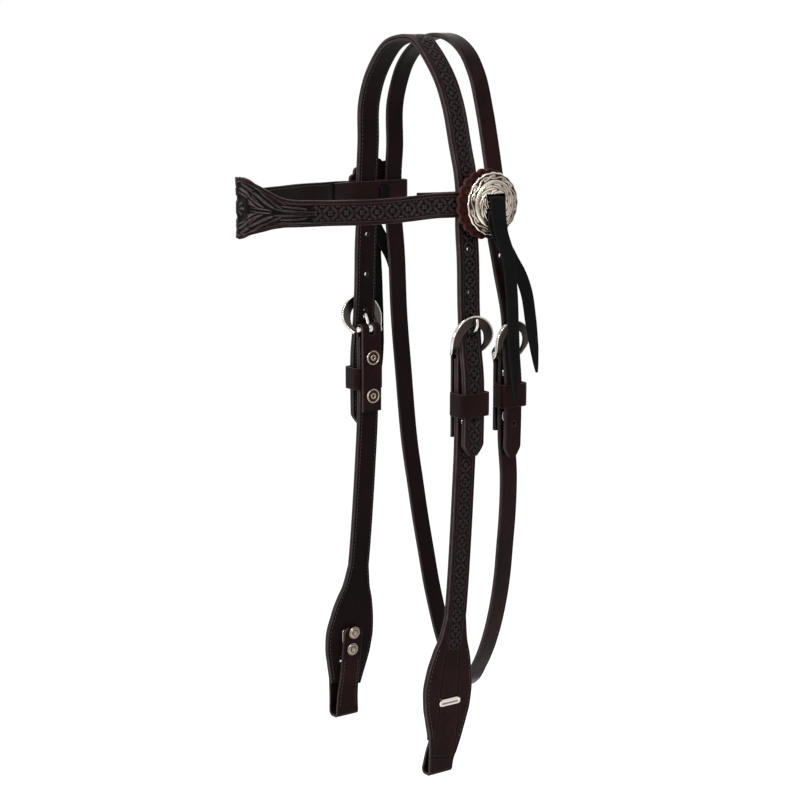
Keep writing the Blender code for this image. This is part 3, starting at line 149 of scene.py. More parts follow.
def arc(centre: Array, first: Array, second: Array, radius: float, start: float, end: float, count: int) -> Array:
    """Points on an arc in the plane of two directions, its angles in degrees."""
    turn = np.radians(np.linspace(start, end, count))[:, None]
    return centre + (first * np.cos(turn) + second * np.sin(turn)) * radius


def tip_width(distance: Array, length: float, least: float) -> Array:
    """Width share near a cut tip, least at its end."""
    left = 1 - np.clip(distance / length, 0, 1)
    return least + (1 - least) * (1 - left**1.3)


def swell(value: Array) -> Array:
    """Round ridge: one at zero, nothing beyond one."""
    return np.sqrt(np.clip(1 - value**2, 0, 1))


def bell(value: Array, width: float) -> Array:
    """Soft bell of a width round zero."""
    return np.exp(-((value / width) ** 2))


def ramp(value: Array, start: float, end: float) -> Array:
    """Smooth step from nothing at start to one at end."""
    t = np.clip((value - start) / (end - start), 0, 1)
    return t * t * (3 - 2 * t)


# Meshes


def softened(values: Array, reach: int) -> Array:
    """Values averaged over the places near each one."""
    padded = np.pad(values, reach, "edge")
    steps = range(2 * reach + 1)
    rows, columns = values.shape
    return sum(padded[i : i + rows, j : j + columns] for i in steps for j in steps) / len(steps) ** 2


def new_piece(name: str, points: Array, faces: list, finish: "Finish", masks: Optional[Array] = None) -> bpy.types.Object:
    """Closed, smooth-shaded mesh object with its finish.

    Args:
        name: Plain name of the piece.
        points: Rows of vertex places.
        faces: Vertex numbers of each face.
        finish: What the piece is made of.
        masks: Rows of (depth, edge, inside) shares for the finish, which also paint shade and highlight.

    Returns:
        The new object.
    """
    mesh = bpy.data.meshes.new(name)
    mesh.from_pydata(points.tolist(), [], faces)
    if masks is not None:
        rows = np.ones((len(points), 4), np.float32)
        rows[:, :3] = masks
        mesh.color_attributes.new("worked", "FLOAT_COLOR", "POINT").data.foreach_set("color", rows.ravel())
    builder = bmesh.new()
    builder.from_mesh(mesh)
    bmesh.ops.recalc_face_normals(builder, faces=builder.faces)
    builder.to_mesh(mesh)
    builder.free()
    mesh.shade_smooth()
    mesh.set_sharp_from_angle(angle=math.radians(finish.sharp_angle))
    mesh.materials.append(finish.material())
    made = bpy.data.objects.new(name, mesh)
    bpy.context.scene.collection.objects.link(made)
    return made


def lofted(
    name: str, sections: Array, finish: "Finish", side: Side = Side.NEAR, closed: bool = False, masks: Optional[Array] = None
) -> bpy.types.Object:
    """Solid through rows of closed sections.

    Args:
        name: Plain name of the piece.
        sections: Places as (row, corner, coordinate), on the near side.
        finish: What the piece is made of.
        side: Side of the horse that it is on.
        closed: Whether the last row joins the first.
        masks: Shares for the finish as (row, corner, three).

    Returns:
        The new object.
    """
    rows, corners = sections.shape[:2]
    index = np.arange(rows * corners).reshape(rows, corners)
    beside = np.roll(index, -1, axis=1)
    if closed:
        quads = np.stack([index, beside, np.roll(beside, -1, axis=0), np.roll(index, -1, axis=0)], -1)
    else:
        quads = np.stack([index[:-1], beside[:-1], beside[1:], index[1:]], -1)
    faces = quads.reshape(-1, 4).tolist()
    if not closed:
        faces += [index[0].tolist(), index[-1].tolist()]
    points = sections.reshape(-1, 3) * (side.value, 1, 1)
    return new_piece(name, points, faces, finish, None if masks is None else masks.reshape(-1, 3))


def turned(
    name: str, origin: Array, axis: Array, profile: Array, sides: int, finish: "Finish", side: Side = Side.NEAR
) -> bpy.types.Object:
    """Turned solid, its profile given as (along the axis, radius) and perhaps how dark it is there."""
    first = np.cross(axis, Z if abs(axis[2]) < 0.5 else X)
    second = np.cross(axis, first)
    turn = np.linspace(0, math.tau, sides, endpoint=False)[:, None]
    ring = first * np.cos(turn) + second * np.sin(turn)
    sections = origin + axis * profile[:, None, :1] + ring[None] * profile[:, None, 1:2]
    masks = np.zeros(sections.shape)
    masks[:, :, 0] = profile[:, 2:3] if profile.shape[1] > 2 else 0
    return lofted(name, sections, finish, side, masks=masks)


def rounded_line(points: Sequence, steps: int = 6) -> Array:
    """Profile with smooth curves between its points, given as (along, radius, how dark)."""
    return through(np.array([(*point, 0.0)[:3] for point in points]) * (1, 1, MM), steps) / (1, 1, MM)


def oblong(half_width: float, half_height: float, rounding: float, steps: int = 8) -> Array:
    """Outline of a rectangle with rounded corners, as (y, z) rows."""
    rows = []
    for quarter, (side, rise) in enumerate([(1, 1), (-1, 1), (-1, -1), (1, -1)]):
        turn = np.radians(np.linspace(90 * quarter, 90 * quarter + 90, steps))
        rows.append(
            np.stack(
                [side * (half_width - rounding) + rounding * np.cos(turn), rise * (half_height - rounding) + rounding * np.sin(turn)],
                axis=1,
            )
        )
    return np.vstack(rows)


def ring_outline(radius: float, sides: int = 28) -> Array:
    """Round outline as (y, z) rows."""
    turn = np.linspace(0, math.tau, sides, endpoint=False)
    return np.stack([radius * np.cos(turn), radius * np.sin(turn)], axis=1)


def bore(piece: bpy.types.Object, shapes: Sequence[Shape], side: Side = Side.NEAR) -> None:
    """Cut openings along X, each given as (middle, outline, half length) on the near side."""
    points, faces = [], []
    for middle, outline, reach in shapes:
        first, count = len(points), len(outline)
        for end in (-reach, reach):
            points += [(side.value * (middle[0] + end), middle[1] + y, middle[2] + z) for y, z in outline]
        faces += [[first + i, first + (i + 1) % count, first + count + (i + 1) % count, first + count + i] for i in range(count)]
        faces += [list(range(first, first + count)), list(range(first + 2 * count - 1, first + count - 1, -1))]
    cutter = new_piece("cutter", np.array(points), faces, PlainTool())
    step = piece.modifiers.new("openings", "BOOLEAN")
    step.operation, step.solver, step.object = "DIFFERENCE", "MANIFOLD", cutter
    evaluated = piece.evaluated_get(bpy.context.evaluated_depsgraph_get())
    mesh = bpy.data.meshes.new_from_object(evaluated)
    old, piece.data = piece.data, mesh
    piece.modifiers.clear()
    bpy.data.meshes.remove(old)
    bpy.data.objects.remove(cutter)
    mesh.shade_smooth()
    mesh.set_sharp_from_angle(angle=math.radians(58))


def dress(piece: bpy.types.Object, body: str, slot: Optional[str], *nodes: str) -> bpy.types.Object:
    """Put a piece on its body, hide the nodes that it stands for, and report it."""
    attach(piece, body)
    return register(piece, slot, *nodes)


def register(piece: bpy.types.Object, slot: Optional[str], *nodes: str) -> bpy.types.Object:
    """Hide the nodes that a piece stands for, and report it."""
    if nodes:
        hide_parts(*nodes)
    log.info("%s: %d faces", piece.name, len(piece.data.polygons))
    return piece


# Finishes


class Recipe:
    """Node tree of one material, written as calls."""

    def __init__(self, name: str) -> None:
        """Start a material that holds only its Principled shader."""
        self.material = bpy.data.materials.new(name)
        self.material.use_nodes = True
        self.tree = self.material.node_tree
        self.shader = self.tree.nodes["Principled BSDF"]

    def add(self, kind: str, settings: Optional[dict] = None, **inputs) -> bpy.types.Node:
        """Add a node. An input that is a socket is linked, and any other is set."""
        node = self.tree.nodes.new(kind)
        for key, value in (settings or {}).items():
            setattr(node, key, value)
        self.feed(node, **inputs)
        return node

    def feed(self, node: bpy.types.Node, **inputs) -> None:
        """Link or set a node's inputs, whose names have _ for a space and a number for a place."""
        for key, value in inputs.items():
            socket = node.inputs[int(key[1:])] if key[1:].isdigit() else node.inputs[key.replace("_", " ")]
            if isinstance(value, bpy.types.NodeSocket):
                self.tree.links.new(value, socket)
            else:
                socket.default_value = value

    def mix(self, share, first, second) -> bpy.types.NodeSocket:
        """Mix two colours."""
        colour = lambda c: c if isinstance(c, bpy.types.NodeSocket) else (*c, 1.0)
        node = self.add("ShaderNodeMix", {"data_type": "RGBA"}, i0=share, i6=colour(first), i7=colour(second))
        return node.outputs[2]

    def math(self, operation: str, first, second=0.0) -> bpy.types.NodeSocket:
        """Reckon with two values."""
        return self.add("ShaderNodeMath", {"operation": operation}, i0=first, i1=second).outputs[0]

    def spread(self, value, low: float, high: float, to_low: float = 0.0, to_high: float = 1.0) -> bpy.types.NodeSocket:
        """Map a value from one range to another."""
        return self.add(
            "ShaderNodeMapRange", None, Value=value, From_Min=low, From_Max=high, To_Min=to_low, To_Max=to_high
        ).outputs[0]

    def place(self) -> bpy.types.NodeSocket:
        """Place on the object, in metres."""
        return self.add("ShaderNodeTexCoord").outputs["Object"]

    def noise(self, scale: float, detail: float = 3.0, place=None) -> bpy.types.NodeSocket:
        """Noise of a scale, round one half."""
        vector = place or self.place()
        return self.add("ShaderNodeTexNoise", None, Vector=vector, Scale=scale, Detail=detail).outputs[0]

    def masks(self) -> tuple:
        """Depth, edge and inside shares that the meshes carry, which also paint shade and highlight."""
        colour = self.add("ShaderNodeAttribute", {"attribute_name": "worked"}).outputs["Color"]
        parts = self.add("ShaderNodeSeparateColor", None, Color=colour).outputs
        return parts[0], parts[1], parts[2]

    def relief(self, *layers: tuple) -> bpy.types.NodeSocket:
        """Surface normal with layers of (height, strength, depth) on one another."""
        normal = None
        for height, strength, depth in layers:
            inputs = {"Height": height, "Strength": strength, "Distance": depth}
            if normal is not None:
                inputs["Normal"] = normal
            normal = self.add("ShaderNodeBump", None, **inputs).outputs[0]
        return normal


class Finish:
    """What a piece is made of. Each finish makes its material once."""

    sharp_angle: float = 58
    made: dict = {}

    def material(self) -> bpy.types.Material:
        """The finish's material."""
        key = repr(self)
        if key not in Finish.made:
            Finish.made[key] = self.mix_material()
        return Finish.made[key]

    def mix_material(self) -> bpy.types.Material:
        """Make the material."""
        raise NotImplementedError


@dataclass(frozen=True)
class PlainTool(Finish):
    """Finish of cutters, which never show."""

    def mix_material(self) -> bpy.types.Material:
        """Make an unused material."""
        return Recipe("cutter").material


@dataclass(frozen=True)
class Leather(Finish):
    """Oiled leather: grain, mottling, cuts darkened (pressed leather's own darkening and painted shade), edges and
    raised tooling lightened (burnished tone and painted highlight) and a flesh side.
    """

    name: str
    body: Colour
    raised: Colour
    # Dark colour of random streaks, of the flesh side and of cuts, where it is partly painted shade.
    sunk: Colour
    # Burnished edge tone, also used as painted highlight on edges and raised tooling.
    edge: Colour
    roughness: float = 0.42
    gloss: float = 0.055
    grain: float = 950.0
    grain_depth: float = 0.00012
    flesh: float = 0.5

    def mix_material(self) -> bpy.types.Material:
        """Make the leather."""
        mix = Recipe(self.name)
        place = mix.place()
        depth, edge, inside = mix.masks()
        cloud = mix.spread(mix.noise(34, 4, place), 0.36, 0.66)
        pores = mix.noise(2300, 2, place)
        colour = mix.mix(cloud, self.body, self.raised)
        streak = mix.spread(mix.noise(210, 3, place), 0.45, 0.75, 0, 0.45)
        colour = mix.mix(streak, colour, self.sunk)
        # Cuts darken towards the sunk colour: pressed leather's own darkening and painted shade.
        colour = mix.mix(mix.spread(depth, 0.05, 0.85, 0, 0.92), colour, self.sunk)
        # Edges and raised tooling lighten towards the edge colour, broken up by noise: burnished edge tone and painted
        # highlight.
        edge_wear_and_highlight = mix.math("MULTIPLY", edge, mix.spread(mix.noise(160, 3, place), 0.3, 0.7, 0.55, 1))
        colour = mix.mix(edge_wear_and_highlight, colour, self.edge)
        colour = mix.mix(mix.math("MULTIPLY", inside, self.flesh), colour, self.sunk)
        cells = mix.add("ShaderNodeTexVoronoi", {"feature": "F1"}, Vector=place, Scale=self.grain, Randomness=1.0)
        wrinkle = mix.noise(420, 5, place)
        rough = mix.spread(mix.noise(90, 3, place), 0.3, 0.7, self.roughness - 0.06, self.roughness + 0.1)
        rough = mix.math("ADD", rough, mix.math("MULTIPLY", inside, 0.14))
        rough = mix.math("ADD", rough, mix.math("MULTIPLY", depth, 0.12))
        rough = mix.math("SUBTRACT", rough, mix.math("MULTIPLY", edge, 0.08))
        normal = mix.relief(
            (cells.outputs["Distance"], 0.5, self.grain_depth),
            (wrinkle, 0.35, self.grain_depth * 1.6),
            (pores, 0.25, self.grain_depth * 0.5),
        )
        mix.feed(mix.shader, Base_Color=colour, Roughness=rough, Normal=normal, Specular_IOR_Level=self.gloss)
        return mix.material


@dataclass(frozen=True)
class Metal(Finish):
    """Plated metal with fine wear, darkened by a depth mask: oxide in engraving, darker rings on turned heads, and
    painted reflection and shade on buckle faces and the hook's lip.
    """

    name: str
    bright: Colour
    dark: Colour
    roughness: float = 0.16
    wear: float = 0.10
    tarnished: float = 0.22
    sharp_angle: float = 50

    def mix_material(self) -> bpy.types.Material:
        """Make the metal."""
        mix = Recipe(self.name)
        place = mix.place()
        depth, _, _ = mix.masks()
        tarnish = mix.spread(mix.noise(75, 4, place), 0.42, 0.72, 0, self.tarnished)
        colour = mix.mix(tarnish, self.bright, self.dark)
        # Where the depth mask is high the metal darkens: oxide in engraving, darker rings on turned heads, and painted
        # dark reflection and shade on buckle faces and the hook's lip.
        colour = mix.mix(mix.spread(depth, 0.1, 0.8), colour, self.dark)
        stretched = mix.add("ShaderNodeMapping", None, Vector=place, Scale=(900, 4200, 900)).outputs[0]
        scratch = mix.noise(1, 2, stretched)
        rough = mix.spread(mix.noise(260, 4, place), 0.3, 0.75, self.roughness, self.roughness + self.wear)
        rough = mix.math("ADD", rough, mix.math("MULTIPLY", depth, 0.25))
        normal = mix.relief((scratch, 0.12, 0.00004), (mix.noise(190, 2, place), 0.18, 0.00025))
        mix.feed(mix.shader, Base_Color=colour, Roughness=rough, Normal=normal, Metallic=1.0)
        return mix.material


@dataclass(frozen=True)
class Thread(Finish):
    """Waxed sewing thread, twisted."""

    name: str
    colour: Colour
    dark: Colour

    def mix_material(self) -> bpy.types.Material:
        """Make the thread."""
        mix = Recipe(self.name)
        place = mix.place()
        strands = mix.add("ShaderNodeTexWave", {"bands_direction": "DIAGONAL"}, Vector=place, Scale=900.0, Distortion=1.5)
        colour = mix.mix(strands.outputs["Fac"], self.dark, self.colour)
        normal = mix.relief((strands.outputs["Fac"], 0.5, 0.0001))
        rough = mix.spread(mix.noise(300, 2, place), 0.3, 0.7, 0.45, 0.65)
        mix.feed(mix.shader, Base_Color=colour, Roughness=rough, Normal=normal, Specular_IOR_Level=0.3)
        return mix.material


# Each leather's fourth colour is its edge colour, which also serves as painted highlight on raised tooling; its sunk
# colour darkens cuts, partly as painted shade.
TOOLED = Leather(
    "tooled_leather", (0.0095, 0.0027, 0.0028), (0.0180, 0.0052, 0.0049), (0.0012, 0.0007, 0.0008), (0.088, 0.070, 0.068), 0.24
)
LINING = Leather(
    "lining_leather", (0.0075, 0.0032, 0.0032), (0.014, 0.005, 0.0048), (0.0028, 0.0015, 0.0015), (0.066, 0.057, 0.055), 0.4
)
PLAIN = Leather(
    "plain_leather", (0.0088, 0.0025, 0.0026), (0.0165, 0.0044, 0.0043), (0.0018, 0.001, 0.0011), (0.078, 0.064, 0.062), 0.26
)
# The rosette's flesh side goes nearly to its sunk colour: painted shade on its back.
ROSETTE = Leather("rosette_leather", (0.030, 0.0064, 0.0058), (0.052, 0.0115, 0.0098), (0.005, 0.0018, 0.0019), (0.050, 0.024, 0.022), 0.32, flesh=0.95)
STRING = Leather(
    "string_leather", (0.0026, 0.0025, 0.0028), (0.0045, 0.0043, 0.0047), (0.0014, 0.0014, 0.0016), (0.014, 0.0136, 0.0144), 0.6, 0.05, 1400.0
)
SILVER = Metal("engraved_silver", (0.74, 0.66, 0.56), (0.030, 0.019, 0.012), 0.17, 0.12, 0.5)
NICKEL = Metal("polished_nickel", (0.68, 0.63, 0.57), (0.040, 0.031, 0.027), 0.12, 0.08)
DULL_NICKEL = Metal("worn_nickel", (0.33, 0.27, 0.215), (0.028, 0.021, 0.017), 0.22, 0.12)
THREAD = Thread("waxed_thread", (0.048, 0.033, 0.031), (0.012, 0.008, 0.008))


# Straps


@dataclass
class Route:
    """Line along a strap's outer face, with directions along, outward and across it."""

    points: Array
    hint: Array
    runs: Array = field(init=False)
    travel: Array = field(init=False)
    outward: Array = field(init=False)
    across: Array = field(init=False)

    def __post_init__(self) -> None:
        """Work out distances and directions."""
        self.runs = run_of(self.points)
        travel = np.gradient(self.points, axis=0)
        self.travel = travel / np.linalg.norm(travel, axis=1, keepdims=True)
        outward = np.cross(self.travel, self.hint)
        self.outward = outward / np.linalg.norm(outward, axis=1, keepdims=True)
        self.across = np.cross(self.outward, self.travel)

    def at(self, rows: Array, places: Array) -> Array:
        """Read rows of the route at distances along it."""
        return np.stack([np.interp(places, self.runs, rows[:, i]) for i in range(3)], axis=1)


@dataclass
class Strap:
    """Flat strap swept along a route, with rounded edges and tooling pressed into its face."""

    route: Route
    half_widths: Array
    ply: float
    depth: float
    columns: int = 9
    rounding: float = 0.0008
    tooling: Optional[Depths] = None
    back_tooling: Optional[Depths] = None
    shade_depth: float = 0.00055

    def layout(self) -> Array:
        """Columns of a section: share of the width, of the corner across, of the ply, of the corner out."""
        half = [math.radians(angle) for angle in (22, 50, 78)]
        down = [math.radians(angle) for angle in (102, 130, 158, 180)]
        face = [(share, 0, 1, 1) for share in np.linspace(1, -1, self.columns)]
        left = [(-1, -math.sin(a), 1, math.cos(a)) for a in half] + [(-1, -math.sin(a), -1, math.cos(a)) for a in down]
        back_columns = self.columns if self.back_tooling else 7
        back = [(share, 0, -1, -1) for share in np.linspace(-1, 1, back_columns)[1:-1]]
        right = [(-share, -across, level, out) for share, across, level, out in reversed(left)]
        return np.array(face + left + back + right)

    def sections(self) -> tuple[Array, Array]:
        """Places and masks of the strap's sections; the masks darken cuts, partly as painted shade, and lighten raised
        tooling and edges, partly as painted highlight.
        """
        route, columns = self.route, self.layout()
        width = self.half_widths[:, None]
        rounding = np.minimum(self.rounding, width * 0.4)
        across = columns[None, :, 0] * (width - rounding) + columns[None, :, 1] * rounding
        corner = min(self.rounding, self.ply / 2)
        out = np.broadcast_to(columns[:, 2] * (self.ply / 2 - corner) + columns[:, 3] * corner, across.shape).copy()
        masks = np.zeros((*across.shape, 3))
        along = np.broadcast_to(route.runs[:, None], across.shape)
        wide = np.broadcast_to(width, across.shape)
        for tooling, level in ((self.tooling, 1), (self.back_tooling, -1)):
            if tooling:
                flat = (columns[:, 1] == 0) & (columns[:, 3] == level)
                pressed = tooling(along[:, flat], across[:, flat], wide[:, flat])
                out[:, flat] -= pressed * level
                masks[:, flat, 0] = np.clip(pressed / self.shade_depth, 0, 1)
                # Places that stand above the cuts nearby get the edge share: painted highlight on raised tooling and
                # beside creases.
                stands = softened(pressed, 3) - pressed
                masks[:, flat, 1] = ramp(stands, 0.00003, 0.0005)
        masks[:, columns[:, 1] > 0, 0] = masks[:, :1, 0]
        masks[:, columns[:, 1] < 0, 0] = masks[:, self.columns - 1 : self.columns, 0]
        # Rounded edges get the edge share too: burnished edge tone and painted highlight.
        masks[:, :, 1] += 0.55 * np.abs(columns[:, 1]) ** 2
        masks[:, :, 2] = (columns[:, 3] < -0.9) * 1.0
        middle = (route.points - route.outward * self.depth)[:, None]
        places = middle + route.across[:, None] * across[..., None] + route.outward[:, None] * out[..., None]
        return places, masks

    def build(self, name: str, finish: Finish, side: Side = Side.NEAR) -> bpy.types.Object:
        """Make the strap's object."""
        places, masks = self.sections()
        return lofted(name, places, finish, side, masks=masks)


@dataclass
class Seam:
    """Rows of stitches along a strap."""

    route: Route
    height: float
    pitch: float = 0.0034
    length: float = 0.0025
    radius: float = 0.00034
    squash: float = 0.75

    def stitch(self) -> tuple[Array, list]:
        """One stitch as (along, out, across) places and its faces."""
        sides = 6
        profile = [(-0.5, 0.25), (-0.42, 0.75), (-0.15, 1.0), (0.15, 1.0), (0.42, 0.75), (0.5, 0.25)]
        turn = np.linspace(0, math.tau, sides, endpoint=False)
        rows = [
            (along * self.length, math.sin(a) * self.radius * out * self.squash, math.cos(a) * self.radius * out)
            for along, out in profile
            for a in turn
        ]
        faces = [
            [r * sides + i, r * sides + (i + 1) % sides, (r + 1) * sides + (i + 1) % sides, (r + 1) * sides + i]
            for r in range(len(profile) - 1)
            for i in range(sides)
        ]
        last = (len(profile) - 1) * sides
        return np.array(rows), faces + [list(range(sides)), list(range(last, last + sides))]

    def row(self, start: float, end: float, offset: Callable[[Array], Array]) -> tuple[Array, list]:
        """Stitches between two distances, at an offset across that follows the distance."""
        places = np.arange(start + self.pitch / 2, end - self.pitch / 2, self.pitch)
        route = self.route
        middle, travel = route.at(route.points, places), route.at(route.travel, places)
        outward, across = route.at(route.outward, places), route.at(route.across, places)
        step = 0.001
        slope = ((offset(places + step) - offset(places - step)) / (2 * step))[:, None]
        travel = travel + across * slope
        travel /= np.linalg.norm(travel, axis=1, keepdims=True)
        beside = np.cross(outward, travel)
        middle = middle + across * offset(places)[:, None] + outward * self.height
        shape, faces = self.stitch()
        points = (
            middle[:, None]
            + travel[:, None] * shape[None, :, :1]
            + outward[:, None] * shape[None, :, 1:2]
            + beside[:, None] * shape[None, :, 2:]
        )
        count = len(shape)
        every = [[index + count * number for index in face] for number in range(len(places)) for face in faces]
        return points.reshape(-1, 3), every

    def build(self, name: str, rows: Sequence[tuple], side: Side = Side.NEAR) -> bpy.types.Object:
        """Make one object of rows given as (start, end, offset)."""
        points, faces = np.empty((0, 3)), []
        for start, end, offset in rows:
            more, their_faces = self.row(start, end, offset)
            faces += [[index + len(points) for index in face] for face in their_faces]
            points = np.vstack([points, more])
        return new_piece(name, points * (side.value, 1, 1), faces, THREAD)


# Tooling, as depths pressed in by (distance along, distance across, half width)


@dataclass(frozen=True)
class Border:
    """Two creases that follow a strap's edges."""

    outer: float = 0.0019
    inner: float = 0.0035
    cut: float = 0.00042

    def depths(self, inset: Array) -> Array:
        """Depth by distance in from the edge."""
        return self.cut * (bell(inset - self.outer, 0.00034) + bell(inset - self.inner, 0.0003))


@dataclass(frozen=True)
class BasketStamp:
    """Crossing double strands with a small flower in each opening."""

    pitch: float = 0.0124
    strand: float = 0.00125
    petal: float = 0.0027
    cut: float = 0.0008

    def depths(self, along: Array, across: Array) -> Array:
        """Depth of the ground between strands and flowers."""
        skew = self.pitch / math.sqrt(2)
        a, b = (along - across) / self.pitch, (along + across) / self.pitch
        row, column = np.round(a), np.round(b)
        off_a, off_b = np.abs(a - row) * skew, np.abs(b - column) * skew
        over = (row + column) % 2 == 0
        rise_a = swell(off_a / self.strand) * np.where(over, 1, 1 - 0.7 * bell(off_b, self.strand))
        rise_b = swell(off_b / self.strand) * np.where(over, 1 - 0.7 * bell(off_a, self.strand), 1)
        split = 0.45 * np.maximum(bell(off_a, 0.00028) * rise_a, bell(off_b, 0.00028) * rise_b)
        strands = np.maximum(rise_a, rise_b) - split
        fa, fb = (a - np.floor(a) - 0.5) * skew, (b - np.floor(b) - 0.5) * skew
        radius, turn = np.hypot(fa, fb), np.arctan2(fb, fa)
        reach = self.petal * (0.5 + 0.5 * np.abs(np.cos(2 * turn)))
        flower = 0.9 * swell(radius / reach) - 0.8 * bell(radius, 0.0005)
        return self.cut * np.clip(1 - np.maximum(strands, flower), 0, 1)


@dataclass(frozen=True)
class StrapTooling:
    """Basket stamp inside a border."""

    border: Border = Border()
    stamp: BasketStamp = BasketStamp()

    def __call__(self, along: Array, across: Array, width: Array) -> Array:
        """Depth pressed in."""
        inset = width - np.abs(across)
        field_share = ramp(inset, self.border.inner, self.border.inner + 0.0004)
        return np.maximum(self.border.depths(inset), self.stamp.depths(along, across) * field_share)


@dataclass(frozen=True)
class CheekTooling:
    """Basket stamp from the heel bar to a round foot, then a plain panel with a creased outline."""

    stamp_start: float
    stamp_end: float
    hook: float
    panel_end: float
    border: Border = Border()
    stamp: BasketStamp = BasketStamp()
    field_half: float = 0.0061
    outline_top: float = 0.0046
    outline_half: float = 0.0091
    outline_foot: float = 0.0113

    def __call__(self, along: Array, across: Array, width: Array) -> Array:
        """Depth pressed in."""
        centre = self.stamp_end - self.field_half
        beyond = np.maximum(along - centre, 0)
        inset = self.field_half - np.hypot(beyond, across) + self.border.inner
        edge = width - np.abs(across)
        inset = np.where(along < centre, np.minimum(edge, inset), inset)
        stamped = self.stamp.depths(along, across) * ramp(inset, self.border.inner, self.border.inner + 0.0004)
        depth = np.maximum(self.border.depths(inset), stamped)
        corner = 0.004
        opened = np.sqrt(np.clip((along - centre) / (self.hook - centre), 0, 1))
        lower = np.clip((along - self.hook) / (self.panel_end - self.hook), 0, 1)
        half = between(self.outline_top, self.outline_half, opened) + (self.outline_foot - self.outline_half) * lower
        side_in = half - np.abs(across)
        end_in = self.panel_end - along
        rounded = corner - np.hypot(np.minimum(side_in - corner, 0), np.minimum(end_in - corner, 0))
        outline_in = np.where((side_in < corner) & (end_in < corner), rounded, np.minimum(side_in, end_in))
        begun = ramp(along, centre + self.field_half * 0.3, self.stamp_end)
        depth = np.maximum(depth, 0.0006 * bell(outline_in, 0.0004) * begun)
        groove = 0.0003 * bell(edge - 0.0024, 0.0004) * ramp(along, self.stamp_end, self.stamp_end + 0.012)
        return np.maximum(depth, groove) * ramp(along, self.stamp_start - 0.004, self.stamp_start)


@dataclass(frozen=True)
class SeamGroove:
    """Groove that a row of stitches lies in, along both edges."""

    inset: float = 0.0021
    cut: float = 0.0003

    def __call__(self, along: Array, across: Array, width: Array) -> Array:
        """Depth pressed in."""
        return self.cut * bell(width - np.abs(across) - self.inset, 0.00045)


@dataclass(frozen=True)
class Leaf:
    """Carved leaf: a bent stroke with a vein, in millimetres."""

    start: tuple[float, float]
    bend: tuple[float, float]
    end: tuple[float, float]
    width: float

    def rise(self, x: Array, y: Array) -> Array:
        """Height share of the leaf at places."""
        best = np.zeros(x.shape)
        for t in np.linspace(0.02, 0.98, 22):
            px = self.start[0] * (1 - t) ** 2 + 2 * self.bend[0] * t * (1 - t) + self.end[0] * t**2
            py = self.start[1] * (1 - t) ** 2 + 2 * self.bend[1] * t * (1 - t) + self.end[1] * t**2
            wide = self.width / 2 * (0.25 + 0.75 * math.sin(math.pi * t**0.8))
            away = np.hypot(x - px, y - py)
            best = np.maximum(best, swell(away / wide) * (1 - 0.45 * bell(away, 0.28)))
        return best


